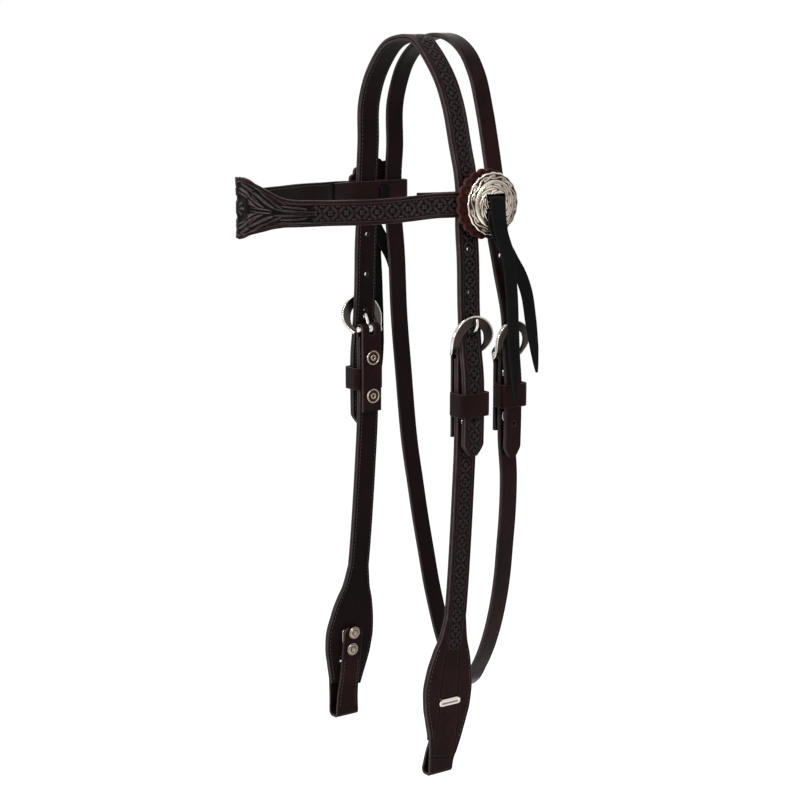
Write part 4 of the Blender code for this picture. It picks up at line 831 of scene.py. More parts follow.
@dataclass(frozen=True)
class FloralTooling:
    """Scrolled leaves round a flower on the browband's nose, and basket stamp along its arms."""

    middle: float
    turned: float
    reach: float = 0.062
    border: Border = Border()
    stamp: BasketStamp = BasketStamp()
    leaves: tuple[Leaf, ...] = (
        Leaf((63, 0.4), (48, 1.2), (30, 2.6), 3.2),
        Leaf((56, 3.2), (46, 5.0), (33, 5.2), 2.4),
        Leaf((36, 3.0), (27, 8.0), (20, 14.5), 3.4),
        Leaf((40, 6.4), (34, 9.2), (29, 9.6), 2.2),
        Leaf((30, 3.0), (20, 7.5), (13, 13.5), 3.2),
        Leaf((25, 11), (18, 14.5), (12, 19.5), 2.6),
        Leaf((22, 2.4), (14, 6.0), (9.5, 10.5), 2.8),
        Leaf((13, 14.5), (8, 17.0), (2.5, 19.5), 2.6),
        Leaf((10, 11.0), (6, 14.0), (1.6, 15.5), 2.4),
        Leaf((28, 1.0), (20, 1.4), (12.5, 1.2), 2.0),
        Leaf((15.5, 2.8), (12, 4.8), (9.5, 7.2), 1.8),
        Leaf((49, 1.0), (42, 2.6), (37, 1.0), 1.6),
        Leaf((26, 8.5), (20, 12.4), (15, 16.6), 2.0),
        Leaf((17, 9.0), (11, 14.4), (6, 16.8), 2.0),
        Leaf((12.5, 8.2), (8, 11.8), (4.5, 13.0), 1.7),
        Leaf((18, 4.8), (14, 8.8), (10.5, 12.4), 1.9),
        Leaf((9, 17.4), (5, 20.4), (0.6, 21.6), 1.9),
        Leaf((21, 15.6), (15, 19.6), (9, 21.2), 1.8),
        Leaf((9, 8.4), (5.5, 11.2), (1.2, 12.0), 1.6),
        Leaf((45, 6.2), (41, 7.6), (36, 8.3), 1.6),
        Leaf((33, 7.0), (28, 11.2), (24, 13.2), 1.9),
        Leaf((19, 1.4), (14, 3.6), (10, 4.2), 1.5),
    )
    flower: float = 7.6

    def __call__(self, along: Array, across: Array, width: Array) -> Array:
        """Depth pressed in."""
        inset = width - np.abs(across)
        from_nose = along - self.middle
        x, y = np.abs(from_nose) / MM, np.abs(across) / MM
        near_nose = x[:, 0] < 70
        rise = np.zeros(x.shape)
        for leaf in self.leaves:
            rise[near_nose] = np.maximum(rise[near_nose], leaf.rise(x[near_nose], y[near_nose]))
        radius, turn = np.hypot(x, y), np.arctan2(across, from_nose)
        for reach, petals, shift in ((self.flower, 8, 0.0), (self.flower * 0.6, 6, 0.3)):
            edge = reach * (0.72 + 0.28 * np.abs(np.cos(turn * petals / 2 + shift)))
            rise = np.maximum(rise, swell(radius / edge) * (0.55 + 0.45 * np.abs(np.cos(turn * petals / 2 + shift))))
        rise = rise - 0.7 * bell(radius, 0.9)
        carved = 0.0012 * np.clip(1 - rise, 0, 1)
        stamped = self.stamp.depths(along, across)
        floral = ramp(-np.abs(from_nose), -self.reach, -self.reach + 0.004)
        field_share = ramp(inset, self.border.inner, self.border.inner + 0.0004)
        both = (carved * floral + stamped * (1 - floral)) * field_share
        arrow = np.abs(np.abs(from_nose) - self.reach + np.abs(across) * 0.5)
        both = np.maximum(both, 0.0004 * bell(arrow, 0.0004) * field_share)
        from_end = np.minimum(along, 2 * self.middle - along)
        return np.maximum(self.border.depths(inset), both) * ramp(from_end, self.turned, self.turned + 0.003)


@dataclass(frozen=True)
class EdgeCrease:
    """One crease along both edges of a plain strap."""

    inset: float = 0.0021
    cut: float = 0.00028

    def __call__(self, along: Array, across: Array, width: Array) -> Array:
        """Depth pressed in."""
        return self.cut * bell(width - np.abs(across) - self.inset, 0.00034)


@dataclass(frozen=True)
class DishedFace:
    """Face of a metal band, a little lower than its outer rim, the lowered face painted dark as a painted reflection
    and the rim left bright.
    """

    cut: float
    rim: float = 0.0009

    def __call__(self, along: Array, across: Array, width: Array) -> Array:
        """Depth pressed in."""
        return self.cut * ramp(width + across, self.rim, self.rim + 0.0006)


@dataclass(frozen=True)
class LipStamp:
    """Oblong pressed into the lip of a hook plate, its inside painted dark as painted shade."""

    start: float
    end: float
    margin: float = 0.0013

    def __call__(self, along: Array, across: Array, width: Array) -> Array:
        """Depth pressed in."""
        inside = np.minimum(width - np.abs(across) - self.margin * 1.6, np.minimum(along - self.start, self.end - along) - self.margin)
        # The pressed depth also paints shade into the oblong.
        return 0.00035 * ramp(inside, -0.0003, 0.0003)


# Sizes that the sub-assemblies share, the same as in the part's own source

STRAP_WIDTH = 0.019
FACE_PLY = 0.0026
LINING_PLY = 0.0025
THROAT_WIDTH = 0.016
THROAT_PLY = 0.004
KEEPER_PLY = 0.0017
SEAT_GAP = 0.0003
CHEEK_SPREAD = 0.072
BROW_DEPTH = 0.125
BUCKLE_DEPTH = 0.2405
BILLET_RISE = 0.0103
THROAT_SPACING = 0.0275
THROAT_DRIFT = 0.0255
THROAT_BAR_DEPTH = 0.2475
HOLE_PITCH = 0.034
PLY_PAIR = FACE_PLY + SEAT_GAP + LINING_PLY
LINING_INSIDE = CHEEK_SPREAD - PLY_PAIR
BROW_OUTSIDE = CHEEK_SPREAD + SEAT_GAP + FACE_PLY
BROW_INSIDE = LINING_INSIDE - SEAT_GAP - FACE_PLY
BUCKLE_HEIGHT = 0.0285
TONGUE_HOLE = -BUCKLE_DEPTH + BUCKLE_HEIGHT * 0.432
FINE = 0.00055


def on_billet(depth: float, rise_share: float, y: float = 0.0) -> tuple[float, float, float]:
    """Point on the outer face of a near billet."""
    return (CHEEK_SPREAD + BILLET_RISE * rise_share, y, -depth)


def between(first: float, last: float, share: float) -> float:
    """Value a share of the way from one to another."""
    return first + (last - first) * share


def throat_y(drift_share: float) -> float:
    """Place of the throatlatch behind the crown strap."""
    return THROAT_SPACING + THROAT_DRIFT * drift_share


@dataclass
class CrownStrap:
    """Two sewn plies over the poll, with a punched billet at each end."""

    arch_shares: Shares = (
        (-0.968, -0.66), (-0.95, -0.4), (-0.85, -0.25), (-0.695, -0.125), (-0.42, 0.005), (-0.18, 0.0385),
        (-0.02, 0.0432), (0.13, 0.026), (0.305, -0.045), (0.44, -0.12), (0.61, -0.24), (0.73, -0.37), (0.89, -0.66), (0.965, -0.8),
    )
    straight_shares: tuple = (0.92, 1.14)
    billet_shares: Shares = ((0.36, 0.21), (0.745, 0.38), (1.0, 0.65))
    tail_shares: Shares = ((0.25, 0.94), (0.56, 1.0), (1.0, 0.93))
    billet_depth: float = 0.3245
    tip: float = 0.009
    hole: float = 0.0022

    def billet(self) -> list:
        """Outer face of the near billet, from the browband to its tip."""
        points = [on_billet(BROW_DEPTH * share, 0.0) for share in self.straight_shares]
        points += [on_billet(between(BROW_DEPTH, BUCKLE_DEPTH, place), rise) for place, rise in self.billet_shares]
        return points + [on_billet(between(BUCKLE_DEPTH, self.billet_depth, place), rise) for place, rise in self.tail_shares]

    def route(self) -> Route:
        """Line from the far tip over the poll to the near one."""
        near = self.billet()
        far = [(-x, y, z) for x, y, z in reversed(near)]
        arch = [(CHEEK_SPREAD * x, 0.0, BROW_DEPTH * z) for x, z in self.arch_shares]
        return Route(spaced(through(far + arch + near), FINE), Y)

    def openings(self) -> list[Shape]:
        """Round holes and the long one, with both billets' places."""
        long_hole = oblong(0.0019, 0.0052, 0.0018)
        shapes = []
        for side in Side:
            for step in (-2, -1, 1, 2):
                place = np.array([side.value * CHEEK_SPREAD, 0.0, TONGUE_HOLE + HOLE_PITCH * step])
                shapes.append((place, ring_outline(self.hole), BILLET_RISE + PLY_PAIR + 0.002))
            shapes.append((np.array([side.value * CHEEK_SPREAD, 0.0, TONGUE_HOLE]), long_hole, BILLET_RISE + PLY_PAIR + 0.002))
        return shapes

    def build(self) -> None:
        """Make the face, the lining and their stitches."""
        route = self.route()
        end = np.minimum(route.runs, route.runs[-1] - route.runs)
        widths = STRAP_WIDTH / 2 * tip_width(end, self.tip, 0.35)
        face = Strap(route, widths, FACE_PLY, FACE_PLY / 2, 47, tooling=StrapTooling()).build("crown_face_tooled", TOOLED)
        bore(face, self.openings())
        dress(face, "straps", "tooled_leather", "crown_face")
        depth = PLY_PAIR - LINING_PLY / 2
        lining = Strap(route, widths, LINING_PLY, depth, 5, back_tooling=SeamGroove(), rounding=0.0007)
        lining.columns = 31
        back = lining.build("crown_lining_sewn", LINING)
        bore(back, self.openings())
        dress(back, "straps", "lining_leather", "crown_lining")
        seam = Seam(route, -PLY_PAIR - 0.0001)
        offset = STRAP_WIDTH / 2 - 0.0021
        rows = [(0.012, route.runs[-1] - 0.012, lambda run, k=k: np.full(run.shape, k * offset)) for k in (1, -1)]
        dress(seam.build("crown_stitches", rows), "straps", None)


@dataclass
class Browband:
    """Flared browband, its ends turned round the crown and throat straps."""

    height: float = 0.0195
    lining: float = 0.0016
    reach: float = 0.167
    sag: float = 0.0025
    near_sag: float = 0.0045
    turned: float = 0.030
    wrap_inset: float = 0.0005
    flare: float = 0.055
    arm_shares: Shares = (
        (1.0, 0.065), (0.97, 0.135), (0.87, 0.225), (0.737, 0.318), (0.61, 0.5), (0.454, 0.669),
        (0.334, 0.8), (0.24, 0.878), (0.16, 0.94), (0.087, 0.982), (0.0, 1.0),
    )
    return_shares: Shares = ((0.9, 1.0), (0.955, 0.7), (0.992, 0.4), (1.0, 0.23))
    flare_shares: Shares = (
        (0.0, 2.3), (0.05, 2.42), (0.14, 2.31), (0.255, 2.0), (0.35, 1.79), (0.44, 1.6),
        (0.585, 1.28), (0.75, 1.09), (0.9, 1.05), (1.0, 1.04), (1.3, 1.0),
    )

    def arm(self) -> Array:
        """Near arm from the crown strap to the nose, its height a share of its sag."""
        points = [(BROW_OUTSIDE * x, -self.reach * y, 0.0) for x, y in self.arm_shares]
        curve = through(points + [(-points[-2][0], points[-2][1], 0.0)])[: 24 * (len(points) - 1) + 1]
        runs = run_of(curve)
        curve[:, 2] = np.sin(np.pi * runs / runs[-1])
        return curve

    def turned_end(self) -> Array:
        """Near end: inside the straps, round the throatlatch and out again."""
        end = STRAP_WIDTH / 2 + self.turned
        rear = THROAT_SPACING + THROAT_WIDTH / 2 - self.wrap_inset
        inside = through([(BROW_INSIDE * x, -end * y, -BROW_DEPTH) for x, y in self.return_shares])
        centre = np.array([(BROW_OUTSIDE + BROW_INSIDE) / 2, rear, -BROW_DEPTH])
        return np.vstack([inside, arc(centre, -X, Y, (BROW_OUTSIDE - BROW_INSIDE) / 2, 0, 180, 24)])

    def half_heights(self, from_nose: Array) -> Array:
        """Half the height at distances from the nose."""
        return self.height / 2 * smooth_share(self.flare_shares, from_nose / self.flare)

    def build(self) -> None:
        """Make the face, the lining and their stitches."""
        arm, end = self.arm(), self.turned_end()
        far_arm = ((arm * (-1, 1, self.sag)) - Z * BROW_DEPTH)[::-1][1:]
        place = run_of(arm) / run_of(arm)[-1]
        arm[:, 2] = -BROW_DEPTH - self.near_sag * ramp(place, 0.12, 0.5) * (1 - ramp(place, 0.6, 1.0))
        whole = np.vstack([end, arm, far_arm, (end * (-1, 1, 1))[::-1]])
        route = Route(spaced(whole, FINE), -Z)
        middle = run_of(np.vstack([end, arm]))[-1]
        heights = self.half_heights(np.abs(route.runs - middle))
        face = Strap(route, heights, FACE_PLY, FACE_PLY / 2, 61, tooling=FloralTooling(middle, run_of(end)[-1])).build("browband_face_carved", TOOLED)
        slit = oblong(0.0046, 0.0014, 0.0004)
        centre = (BROW_OUTSIDE + BROW_INSIDE) / 2
        shapes = [
            (np.array([side.value * centre, 0.014, -BROW_DEPTH + rise]), slit, 0.011) for side in Side for rise in (0.0054, -0.0054)
        ]
        bore(face, shapes)
        dress(face, "straps", "tooled_leather", "browband_face")
        start = STRAP_WIDTH / 2 + self.turned + 2 * FACE_PLY
        lined = Route(route.points[route.points[:, 1] < -start], -Z)
        inner_middle = lined.runs[-1] / 2
        inner = self.half_heights(np.abs(lined.runs - inner_middle))
        depth = FACE_PLY + SEAT_GAP + self.lining / 2
        lining = Strap(lined, inner, self.lining, depth, 41, 0.0005, back_tooling=SeamGroove(cut=0.00022))
        dress(lining.build("browband_lining_sewn", LINING), "straps", "lining_leather", "browband_lining")
        seam = Seam(lined, -FACE_PLY - SEAT_GAP - self.lining - 0.0001)
        edge = lambda run, k=1: k * (self.half_heights(np.abs(run - inner_middle)) - 0.0021)
        rows = [(0.003, lined.runs[-1] - 0.003, lambda run, k=k: edge(run, k)) for k in (1, -1)]
        dress(seam.build("browband_stitches", rows), "straps", None)


@dataclass
class BuckleSizes:
    """Sizes of one arch buckle whose heel bar lies along Y."""

    bar: Array
    bar_radius: float
    half_width: float
    band: float
    strap_ply: float
    strap_width: float
    fold_length: float
    inner_face: float
    screw_depths: tuple[float, float]
    keeper_depth: float
    keeper_face: float
    keeper_inlet: float

    @property
    def fold_radius(self) -> float:
        """Outer radius of the strap where it goes over the heel bar."""
        return self.bar_radius + SEAT_GAP + self.strap_ply

    @property
    def outer_face(self) -> float:
        """Outer face of the strap below the bar."""
        return self.bar[0] + self.fold_radius

    def fold(self) -> Array:
        """Outer face of the strap turned back over its bar, from the turned end to the outside."""
        heights = np.linspace(-self.fold_length, -self.fold_radius * 1.2, 30)
        inner = np.stack([np.full(30, self.inner_face), np.full(30, self.bar[1]), self.bar[2] + heights], axis=1)
        return np.vstack([inner, arc(self.bar, -X, Z, self.fold_radius, 0, 180, 40)])

    def openings(self) -> list[Shape]:
        """Holes for the post screws, and the slot that the tongue's loop stands in."""
        reach = self.fold_radius + 0.001
        shapes = [(self.bar - Z * depth, ring_outline(0.0025), reach) for depth in self.screw_depths]
        low, high = -(self.bar_radius + 0.0025), self.fold_radius + 0.002
        return shapes + [(self.bar + Z * (low + high) / 2, oblong(0.0028, (high - low) / 2, 0.0007), reach)]


def cheek_buckle() -> BuckleSizes:
    """Near cheek buckle. The fold is as thick as the plies and the keeper inside it."""
    bar_radius = (LINING_PLY + KEEPER_PLY + SEAT_GAP) / 2
    fold_radius = bar_radius + SEAT_GAP + FACE_PLY
    bar = np.array([CHEEK_SPREAD - fold_radius, 0.0, -BUCKLE_DEPTH])
    inlet = LINING_INSIDE - SEAT_GAP - KEEPER_PLY / 2
    face = CHEEK_SPREAD + BILLET_RISE
    return BuckleSizes(
        bar, bar_radius, 0.0205, 0.0088, FACE_PLY, STRAP_WIDTH, 0.0705, bar[0] - fold_radius, (0.024, 0.057), 0.0425, face, inlet
    )


def throat_buckle() -> BuckleSizes:
    """Buckle of the throatlatch, on the near side only."""
    fold_radius = 0.002 + SEAT_GAP + THROAT_PLY
    outer_face = CHEEK_SPREAD + 0.0015
    inlet = outer_face - THROAT_PLY - SEAT_GAP - KEEPER_PLY / 2
    inner_face = inlet - KEEPER_PLY / 2 - SEAT_GAP - THROAT_PLY
    bar = np.array([outer_face - fold_radius, throat_y(0.49), -THROAT_BAR_DEPTH])
    face = CHEEK_SPREAD + BILLET_RISE * 0.94
    return BuckleSizes(
        bar, 0.002, 0.0172, 0.0072, THROAT_PLY, THROAT_WIDTH, 0.0625, inner_face, (0.0145, 0.0495), 0.032, face, inlet
    )


@dataclass
class Buckle:
    """Frame, heel bar, tongue, keeper and post screws of one strap end."""

    sizes: BuckleSizes
    stem: str
    side: Side
    rise: float = 0.0131
    ply: float = 0.0027
    rounding: float = 0.0008
    foot_drop: float = 0.0023
    foot_pinch: float = 0.23
    foot_band: float = 0.55
    prong_shares: Shares = ((0.278, 0.302), (0.413, 0.396), (0.762, 0.505), (1.127, 0.604), (1.27, 0.716), (1.278, 0.912))
    head_shares: Shares = (
        (-0.55, 0.01, 0.9), (-0.55, 0.1, 0.9), (-0.62, 0.17, 0.7), (-0.98, 0.24, 0.0), (-1.0, 0.33, 0.0), (-0.9, 0.4, 0.2),
        (-0.42, 0.47, 1.0), (-0.35, 0.58, 1.0), (-0.42, 0.7, 1.0), (-0.85, 0.78, 0.3), (-1.0, 0.84, 0.0), (-0.98, 0.91, 0.0),
        (-0.6, 0.985, 0.0), (-0.15, 1.0, 0.3), (0.0, 0.985, 0.6),
    )

    @property
    def tail(self) -> str:
        """Ending of the set's node names."""
        return f"_{self.side.label}" if self.stem == "cheek" else ""

    def frame(self) -> Strap:
        """Band of the frame, following the dome and dished on both faces, which carry painted dark reflection inside a
        bright outer rim.
        """
        sizes = self.sizes
        radius = sizes.half_width - sizes.band / 2
        crest = BUCKLE_HEIGHT - sizes.band / 2
        shoulder = crest - radius
        rise = np.linspace(0, 1, 18)
        foot = 1 - self.foot_pinch * (1 - rise) ** 2
        side = np.stack([radius * foot, between(-self.foot_drop, shoulder, rise)], axis=1)[:-1]
        turn = np.radians(np.linspace(0, 180, 60))
        arch = np.stack([radius * np.cos(turn), shoulder + radius * np.sin(turn)], axis=1)
        u, v = np.vstack([side, arch, side[::-1] * (-1, 1)]).T
        left = np.clip(1 - (v + self.foot_drop) / (crest + self.foot_drop), 0, 0.985)
        domed = np.sqrt(1 - left**2)
        points = sizes.bar + np.stack([self.rise * domed, u, v], axis=1)
        steep = self.rise / (crest + self.foot_drop) * left / domed
        normal = np.stack([np.ones_like(v), np.zeros_like(v), -steep], axis=1)
        route = Route(points, np.cross(normal, np.gradient(points, axis=0)))
        half_band = sizes.band / 2 * between(self.foot_band, 1.0, ramp(v, -self.foot_drop, shoulder * 1.6))
        # Both dished faces paint a dark reflection into the metal's colour; the outer rim stays bright.
        return Strap(route, half_band, self.ply, 0.0, 15, self.rounding, DishedFace(0.00042), DishedFace(0.00034), 0.00045)

    def prong(self) -> Strap:
        """Prong of the tongue: under the billet, out through its hole and over the frame."""
        sizes = self.sizes
        radius = sizes.bar_radius + SEAT_GAP + 0.00075
        root = math.radians(66)
        start = sizes.bar + np.array([radius * math.cos(root), 0.0, radius * math.sin(root)])
        path = [sizes.bar + np.array([self.rise * x, 0.0, BUCKLE_HEIGHT * z]) for x, z in self.prong_shares]
        route = Route(spaced(through([start] + path), 0.0006), Y)
        left = (route.runs[-1] - route.runs) / 0.004
        widths = 0.00125 * (0.55 + 0.45 * np.sqrt(1 - (1 - np.clip(left, 0, 1)) ** 2))
        return Strap(route, widths, 0.0024, 0.0, 5, 0.0011)

    def tongue(self) -> bpy.types.Object:
        """Prong and its loop, free to turn on the heel bar."""
        sizes = self.sizes
        prong = self.prong().build("prong", NICKEL, self.side)
        inner, wall, half = sizes.bar_radius + SEAT_GAP, 0.0015, 0.0021
        section = oblong(half, wall / 2, 0.0005, 4)
        turn = np.linspace(0, math.tau, 40, endpoint=False)
        ring = np.cos(turn)[:, None] * X + np.sin(turn)[:, None] * Z
        places = sizes.bar + ring[:, None] * (inner + wall / 2 + section[None, :, 1:]) + Y * section[None, :, :1]
        loop = lofted("loop", places, NICKEL, self.side, closed=True)
        step = prong.modifiers.new("loop", "BOOLEAN")
        step.operation, step.solver, step.object = "UNION", "MANIFOLD", loop
        mesh = bpy.data.meshes.new_from_object(prong.evaluated_get(bpy.context.evaluated_depsgraph_get()))
        bpy.data.objects.remove(loop)
        bpy.data.objects.remove(prong)
        mesh.shade_smooth()
        mesh.set_sharp_from_angle(angle=math.radians(45))
        made = bpy.data.objects.new(f"{self.stem}_tongue_forged{self.tail}", mesh)
        bpy.context.scene.collection.objects.link(made)
        return made

    def keeper(self) -> bpy.types.Object:
        """Leather keeper round the billet, its ends caught in the fold."""
        sizes = self.sizes
        z = sizes.bar[2] - sizes.keeper_depth
        side = sizes.strap_width / 2 + 0.0029 + KEEPER_PLY / 2
        back, front, bend = sizes.keeper_inlet, sizes.keeper_face + 3 * SEAT_GAP + KEEPER_PLY / 2, 0.0034
        middle = np.array([0.0, sizes.bar[1], z])
        half = [middle + np.array([[back, 0.0055 - side, 0.0]])]
        half.append(arc(middle + np.array([back + bend, bend - side, 0]), -X, -Y, bend, 0, 90, 10))
        half.append(arc(middle + np.array([front - bend, bend - side, 0]), -Y, X, bend, 0, 90, 10))
        near = np.vstack(half)
        far = near[::-1] * (1, -1, 1) + (0, 2 * sizes.bar[1], 0)
        route = Route(spaced(np.vstack([near, far]), 0.0009), Z)
        widths = np.full(len(route.points), 0.0095)
        strap = Strap(route, widths, KEEPER_PLY, 0.0, 25, 0.0006, tooling=EdgeCrease(0.0017, 0.00025))
        return strap.build(f"{self.stem}_keeper_creased{self.tail}", PLAIN, self.side)

    def build(self) -> None:
        """Make every piece of the set."""
        sizes, side, stem, tail = self.sizes, self.side, self.stem, self.tail
        dress(self.frame().build(f"{stem}_buckle_frame{tail}", NICKEL, side), "straps", "nickel", f"{stem}_buckle{tail}")
        reach = (sizes.half_width - sizes.band / 2) * (1 - self.foot_pinch)
        r = sizes.bar_radius
        bar = np.array([(-reach, 0.0002), (-reach, r * 0.7), (-reach + r * 0.3, r), (reach - r * 0.3, r), (reach, r * 0.7), (reach, 0.0002)])
        dress(turned(f"{stem}_heel_bar{tail}", sizes.bar, Y, bar, 32, NICKEL, side), "straps", "nickel")
        body = Ride.CHEEK_TONGUE.on(side) if stem == "cheek" else Ride.THROAT_TONGUE.value
        dress(self.tongue(), body, "nickel", f"{stem}_tongue{tail}")
        dress(self.keeper(), "straps", "plain_leather", f"{stem}_keeper{tail}")
        self.build_screws()

    def build_screws(self) -> None:
        """Post heads inside with raised rings, and slotted screws outside."""
        sizes, side = self.sizes, self.side
        inside = sizes.inner_face - SEAT_GAP
        length = sizes.outer_face - inside
        head = rounded_line(np.array(self.head_shares) * (0.0018, 0.0064, 1), 4)
        post = np.vstack([head, [(0, 0.0022, 1), (length, 0.0022, 1), (length, 0.0015, 1), (length * 0.3, 0.0015, 1), (length * 0.3, 0.0001, 1)]])
        rim = rounded_line([(0.0, 0.0064), (0.0005, 0.0064), (0.0011, 0.0055), (0.0014, 0.0034), (0.0015, 0.0001)], 5)[::-1]
        shank = [(0.0, 0.0012, 0.5), (-length * 0.6, 0.0012, 0.5), (-length * 0.6, 0.0001, 0.5)]
        for level, depth in zip(Level, sizes.screw_depths):
            place = np.array([inside, sizes.bar[1], sizes.bar[2] - depth])
            made = turned(f"{self.stem}_post_{level.value}_ringed{self.tail}", place, X, post, 40, DULL_NICKEL, side)
            dress(made, "straps", "nickel", f"{self.stem}_post_{level.value}{self.tail}")
            origin = place + X * (length + SEAT_GAP)
            stud = turned(f"{self.stem}_screw_{level.value}_slotted{self.tail}", origin, X, np.vstack([rim, shank]), 36, NICKEL, side)
            bore(stud, [(origin + X * 0.0013, oblong(0.0055, 0.0005, 0.0003, 3), 0.0006)], side)
            dress(stud, "straps", "nickel", f"{self.stem}_screw_{level.value}{self.tail}")


@dataclass
class Cheek:
    """Cheek strap: tooled face folded over its heel bar, sewn lining and bit loop."""

    side: Side
    drift_shares: Shares = (
        (0.0, 0.0), (0.205, 0.0), (0.349, 0.12), (0.444, 0.22), (0.563, 0.37), (0.658, 0.54),
        (0.73, 0.72), (0.808, 0.9), (0.892, 0.98), (0.95, 1.0), (1.0, 1.0),
    )
    panel_shares: Shares = (
        (0.0, 0.13), (0.08, 0.18), (0.166, 0.34), (0.235, 0.47), (0.344, 0.73), (0.458, 0.95), (0.53, 1.0),
        (0.65, 0.86), (0.763, 0.6), (0.878, 0.22), (1.0, 0.0),
    )
    foot_shares: Shares = ((-1.0, 1.0), (0.0, 1.0), (0.12, 0.99), (0.28, 0.86), (0.52, 0.46), (0.8, 0.1), (1.0, 0.0), (2.0, 0.0))
    foot_height: float = 0.045
    bit_depth: float = 0.587
    panel_height: float = 0.131
    panel_half: float = 0.0232
    loop_bend: float = 0.0042
    loop_flat: float = 0.0036
    hook_depth: float = 0.5281
    stamp_depth: float = 0.485

    @property
    def bottom(self) -> float:
        """Height of the foot of the bit loop."""
        return -(0.5896 if self.side is Side.NEAR else 0.578)

    def y_at(self, z: Array) -> Array:
        """How far forward the cheek lies at heights."""
        drift, foot = (0.0185 * 1.3, 0.0042) if self.side is Side.FAR else (0.0185, 0.0056)
        share = smooth_share(self.drift_shares, (-np.asarray(z) - BUCKLE_DEPTH) / (self.bit_depth - BUCKLE_DEPTH))
        return -drift * share - foot * smooth_share(self.foot_shares, (np.asarray(z) - self.bottom) / self.foot_height)

    def half_width(self, z: Array) -> Array:
        """Half the width at heights."""
        extra = smooth_share(self.panel_shares, (np.asarray(z) - self.bottom) / self.panel_height)
        return STRAP_WIDTH / 2 + (self.panel_half - STRAP_WIDTH / 2) * extra

    def hook_slot(self) -> Shape:
        """Opening in the panel that the hook goes through."""
        centre = np.array([CHEEK_SPREAD - PLY_PAIR / 2, float(self.y_at(-self.hook_depth)), -self.hook_depth])
        return centre, oblong(0.0095, 0.0037, 0.002), PLY_PAIR / 2 + 0.002

    def face_route(self) -> tuple[Route, float]:
        """Line of the face with its fold and loop, and its distance at the heel bar's outside."""
        sizes = cheek_buckle()
        fold = sizes.fold()
        z = np.arange(sizes.bar[2], self.bottom + self.loop_bend, -0.001)[1:]
        outside = np.stack([np.full(len(z), CHEEK_SPREAD), self.y_at(z), z], axis=1)
        y = float(self.y_at(self.bottom))
        foot = np.array([CHEEK_SPREAD - self.loop_bend, y, self.bottom + self.loop_bend])
        bend = arc(foot, X, -Z, self.loop_bend, 0, 90, 16)
        end = bend[-1:] - X * (self.loop_flat - SEAT_GAP / 2)
        return Route(spaced(np.vstack([fold, outside, bend, end]), FINE), Y), run_of(fold)[-1]

    def build(self) -> None:
        """Make the face, the lining and the stitches on both."""
        side, label = self.side, self.side.label
        route, start = self.face_route()
        widths = self.half_width(route.points[:, 2])
        at_height = lambda depth: start + depth - BUCKLE_DEPTH
        tooling = CheekTooling(start, at_height(self.stamp_depth), at_height(self.hook_depth), at_height(0.5765))
        face = Strap(route, widths, FACE_PLY, FACE_PLY / 2, 57, tooling=tooling).build(f"cheek_face_tooled_{label}", TOOLED, side)
        openings = cheek_buckle().openings() + [self.hook_slot()]
        bore(face, openings, side)
        dress(face, "straps", "tooled_leather", f"cheek_face_{label}")
        top, end = -BUCKLE_DEPTH - 0.0065, self.bottom + 0.027
        z = np.arange(top, end, -FINE)
        inner = Route(np.stack([np.full(len(z), CHEEK_SPREAD), self.y_at(z), z], axis=1), Y)
        depth = PLY_PAIR - LINING_PLY / 2
        lining = Strap(inner, self.half_width(z), LINING_PLY, depth, 37, 0.0007, back_tooling=SeamGroove())
        back = lining.build(f"cheek_lining_sewn_{label}", LINING, side)
        bore(back, openings, side)
        dress(back, "straps", "lining_leather", f"cheek_lining_{label}")
        edge = lambda run, k, inset: k * (self.half_width(top - run) - inset)
        seam = Seam(inner, -PLY_PAIR - 0.0001)
        rows = [(0.006, inner.runs[-1] - 0.003, lambda run, k=k: edge(run, k, 0.0021)) for k in (1, -1)]
        dress(seam.build(f"cheek_stitches_inside_{label}", rows, side), "straps", None)
        panel_top = self.stamp_depth - BUCKLE_DEPTH - 0.0065
        front = Seam(inner, 0.0)
        rows = [(panel_top, inner.runs[-1] - 0.001, lambda run, k=k: edge(run, k, 0.0024)) for k in (1, -1)]
        dress(front.build(f"cheek_stitches_outside_{label}", rows, side), "straps", None)


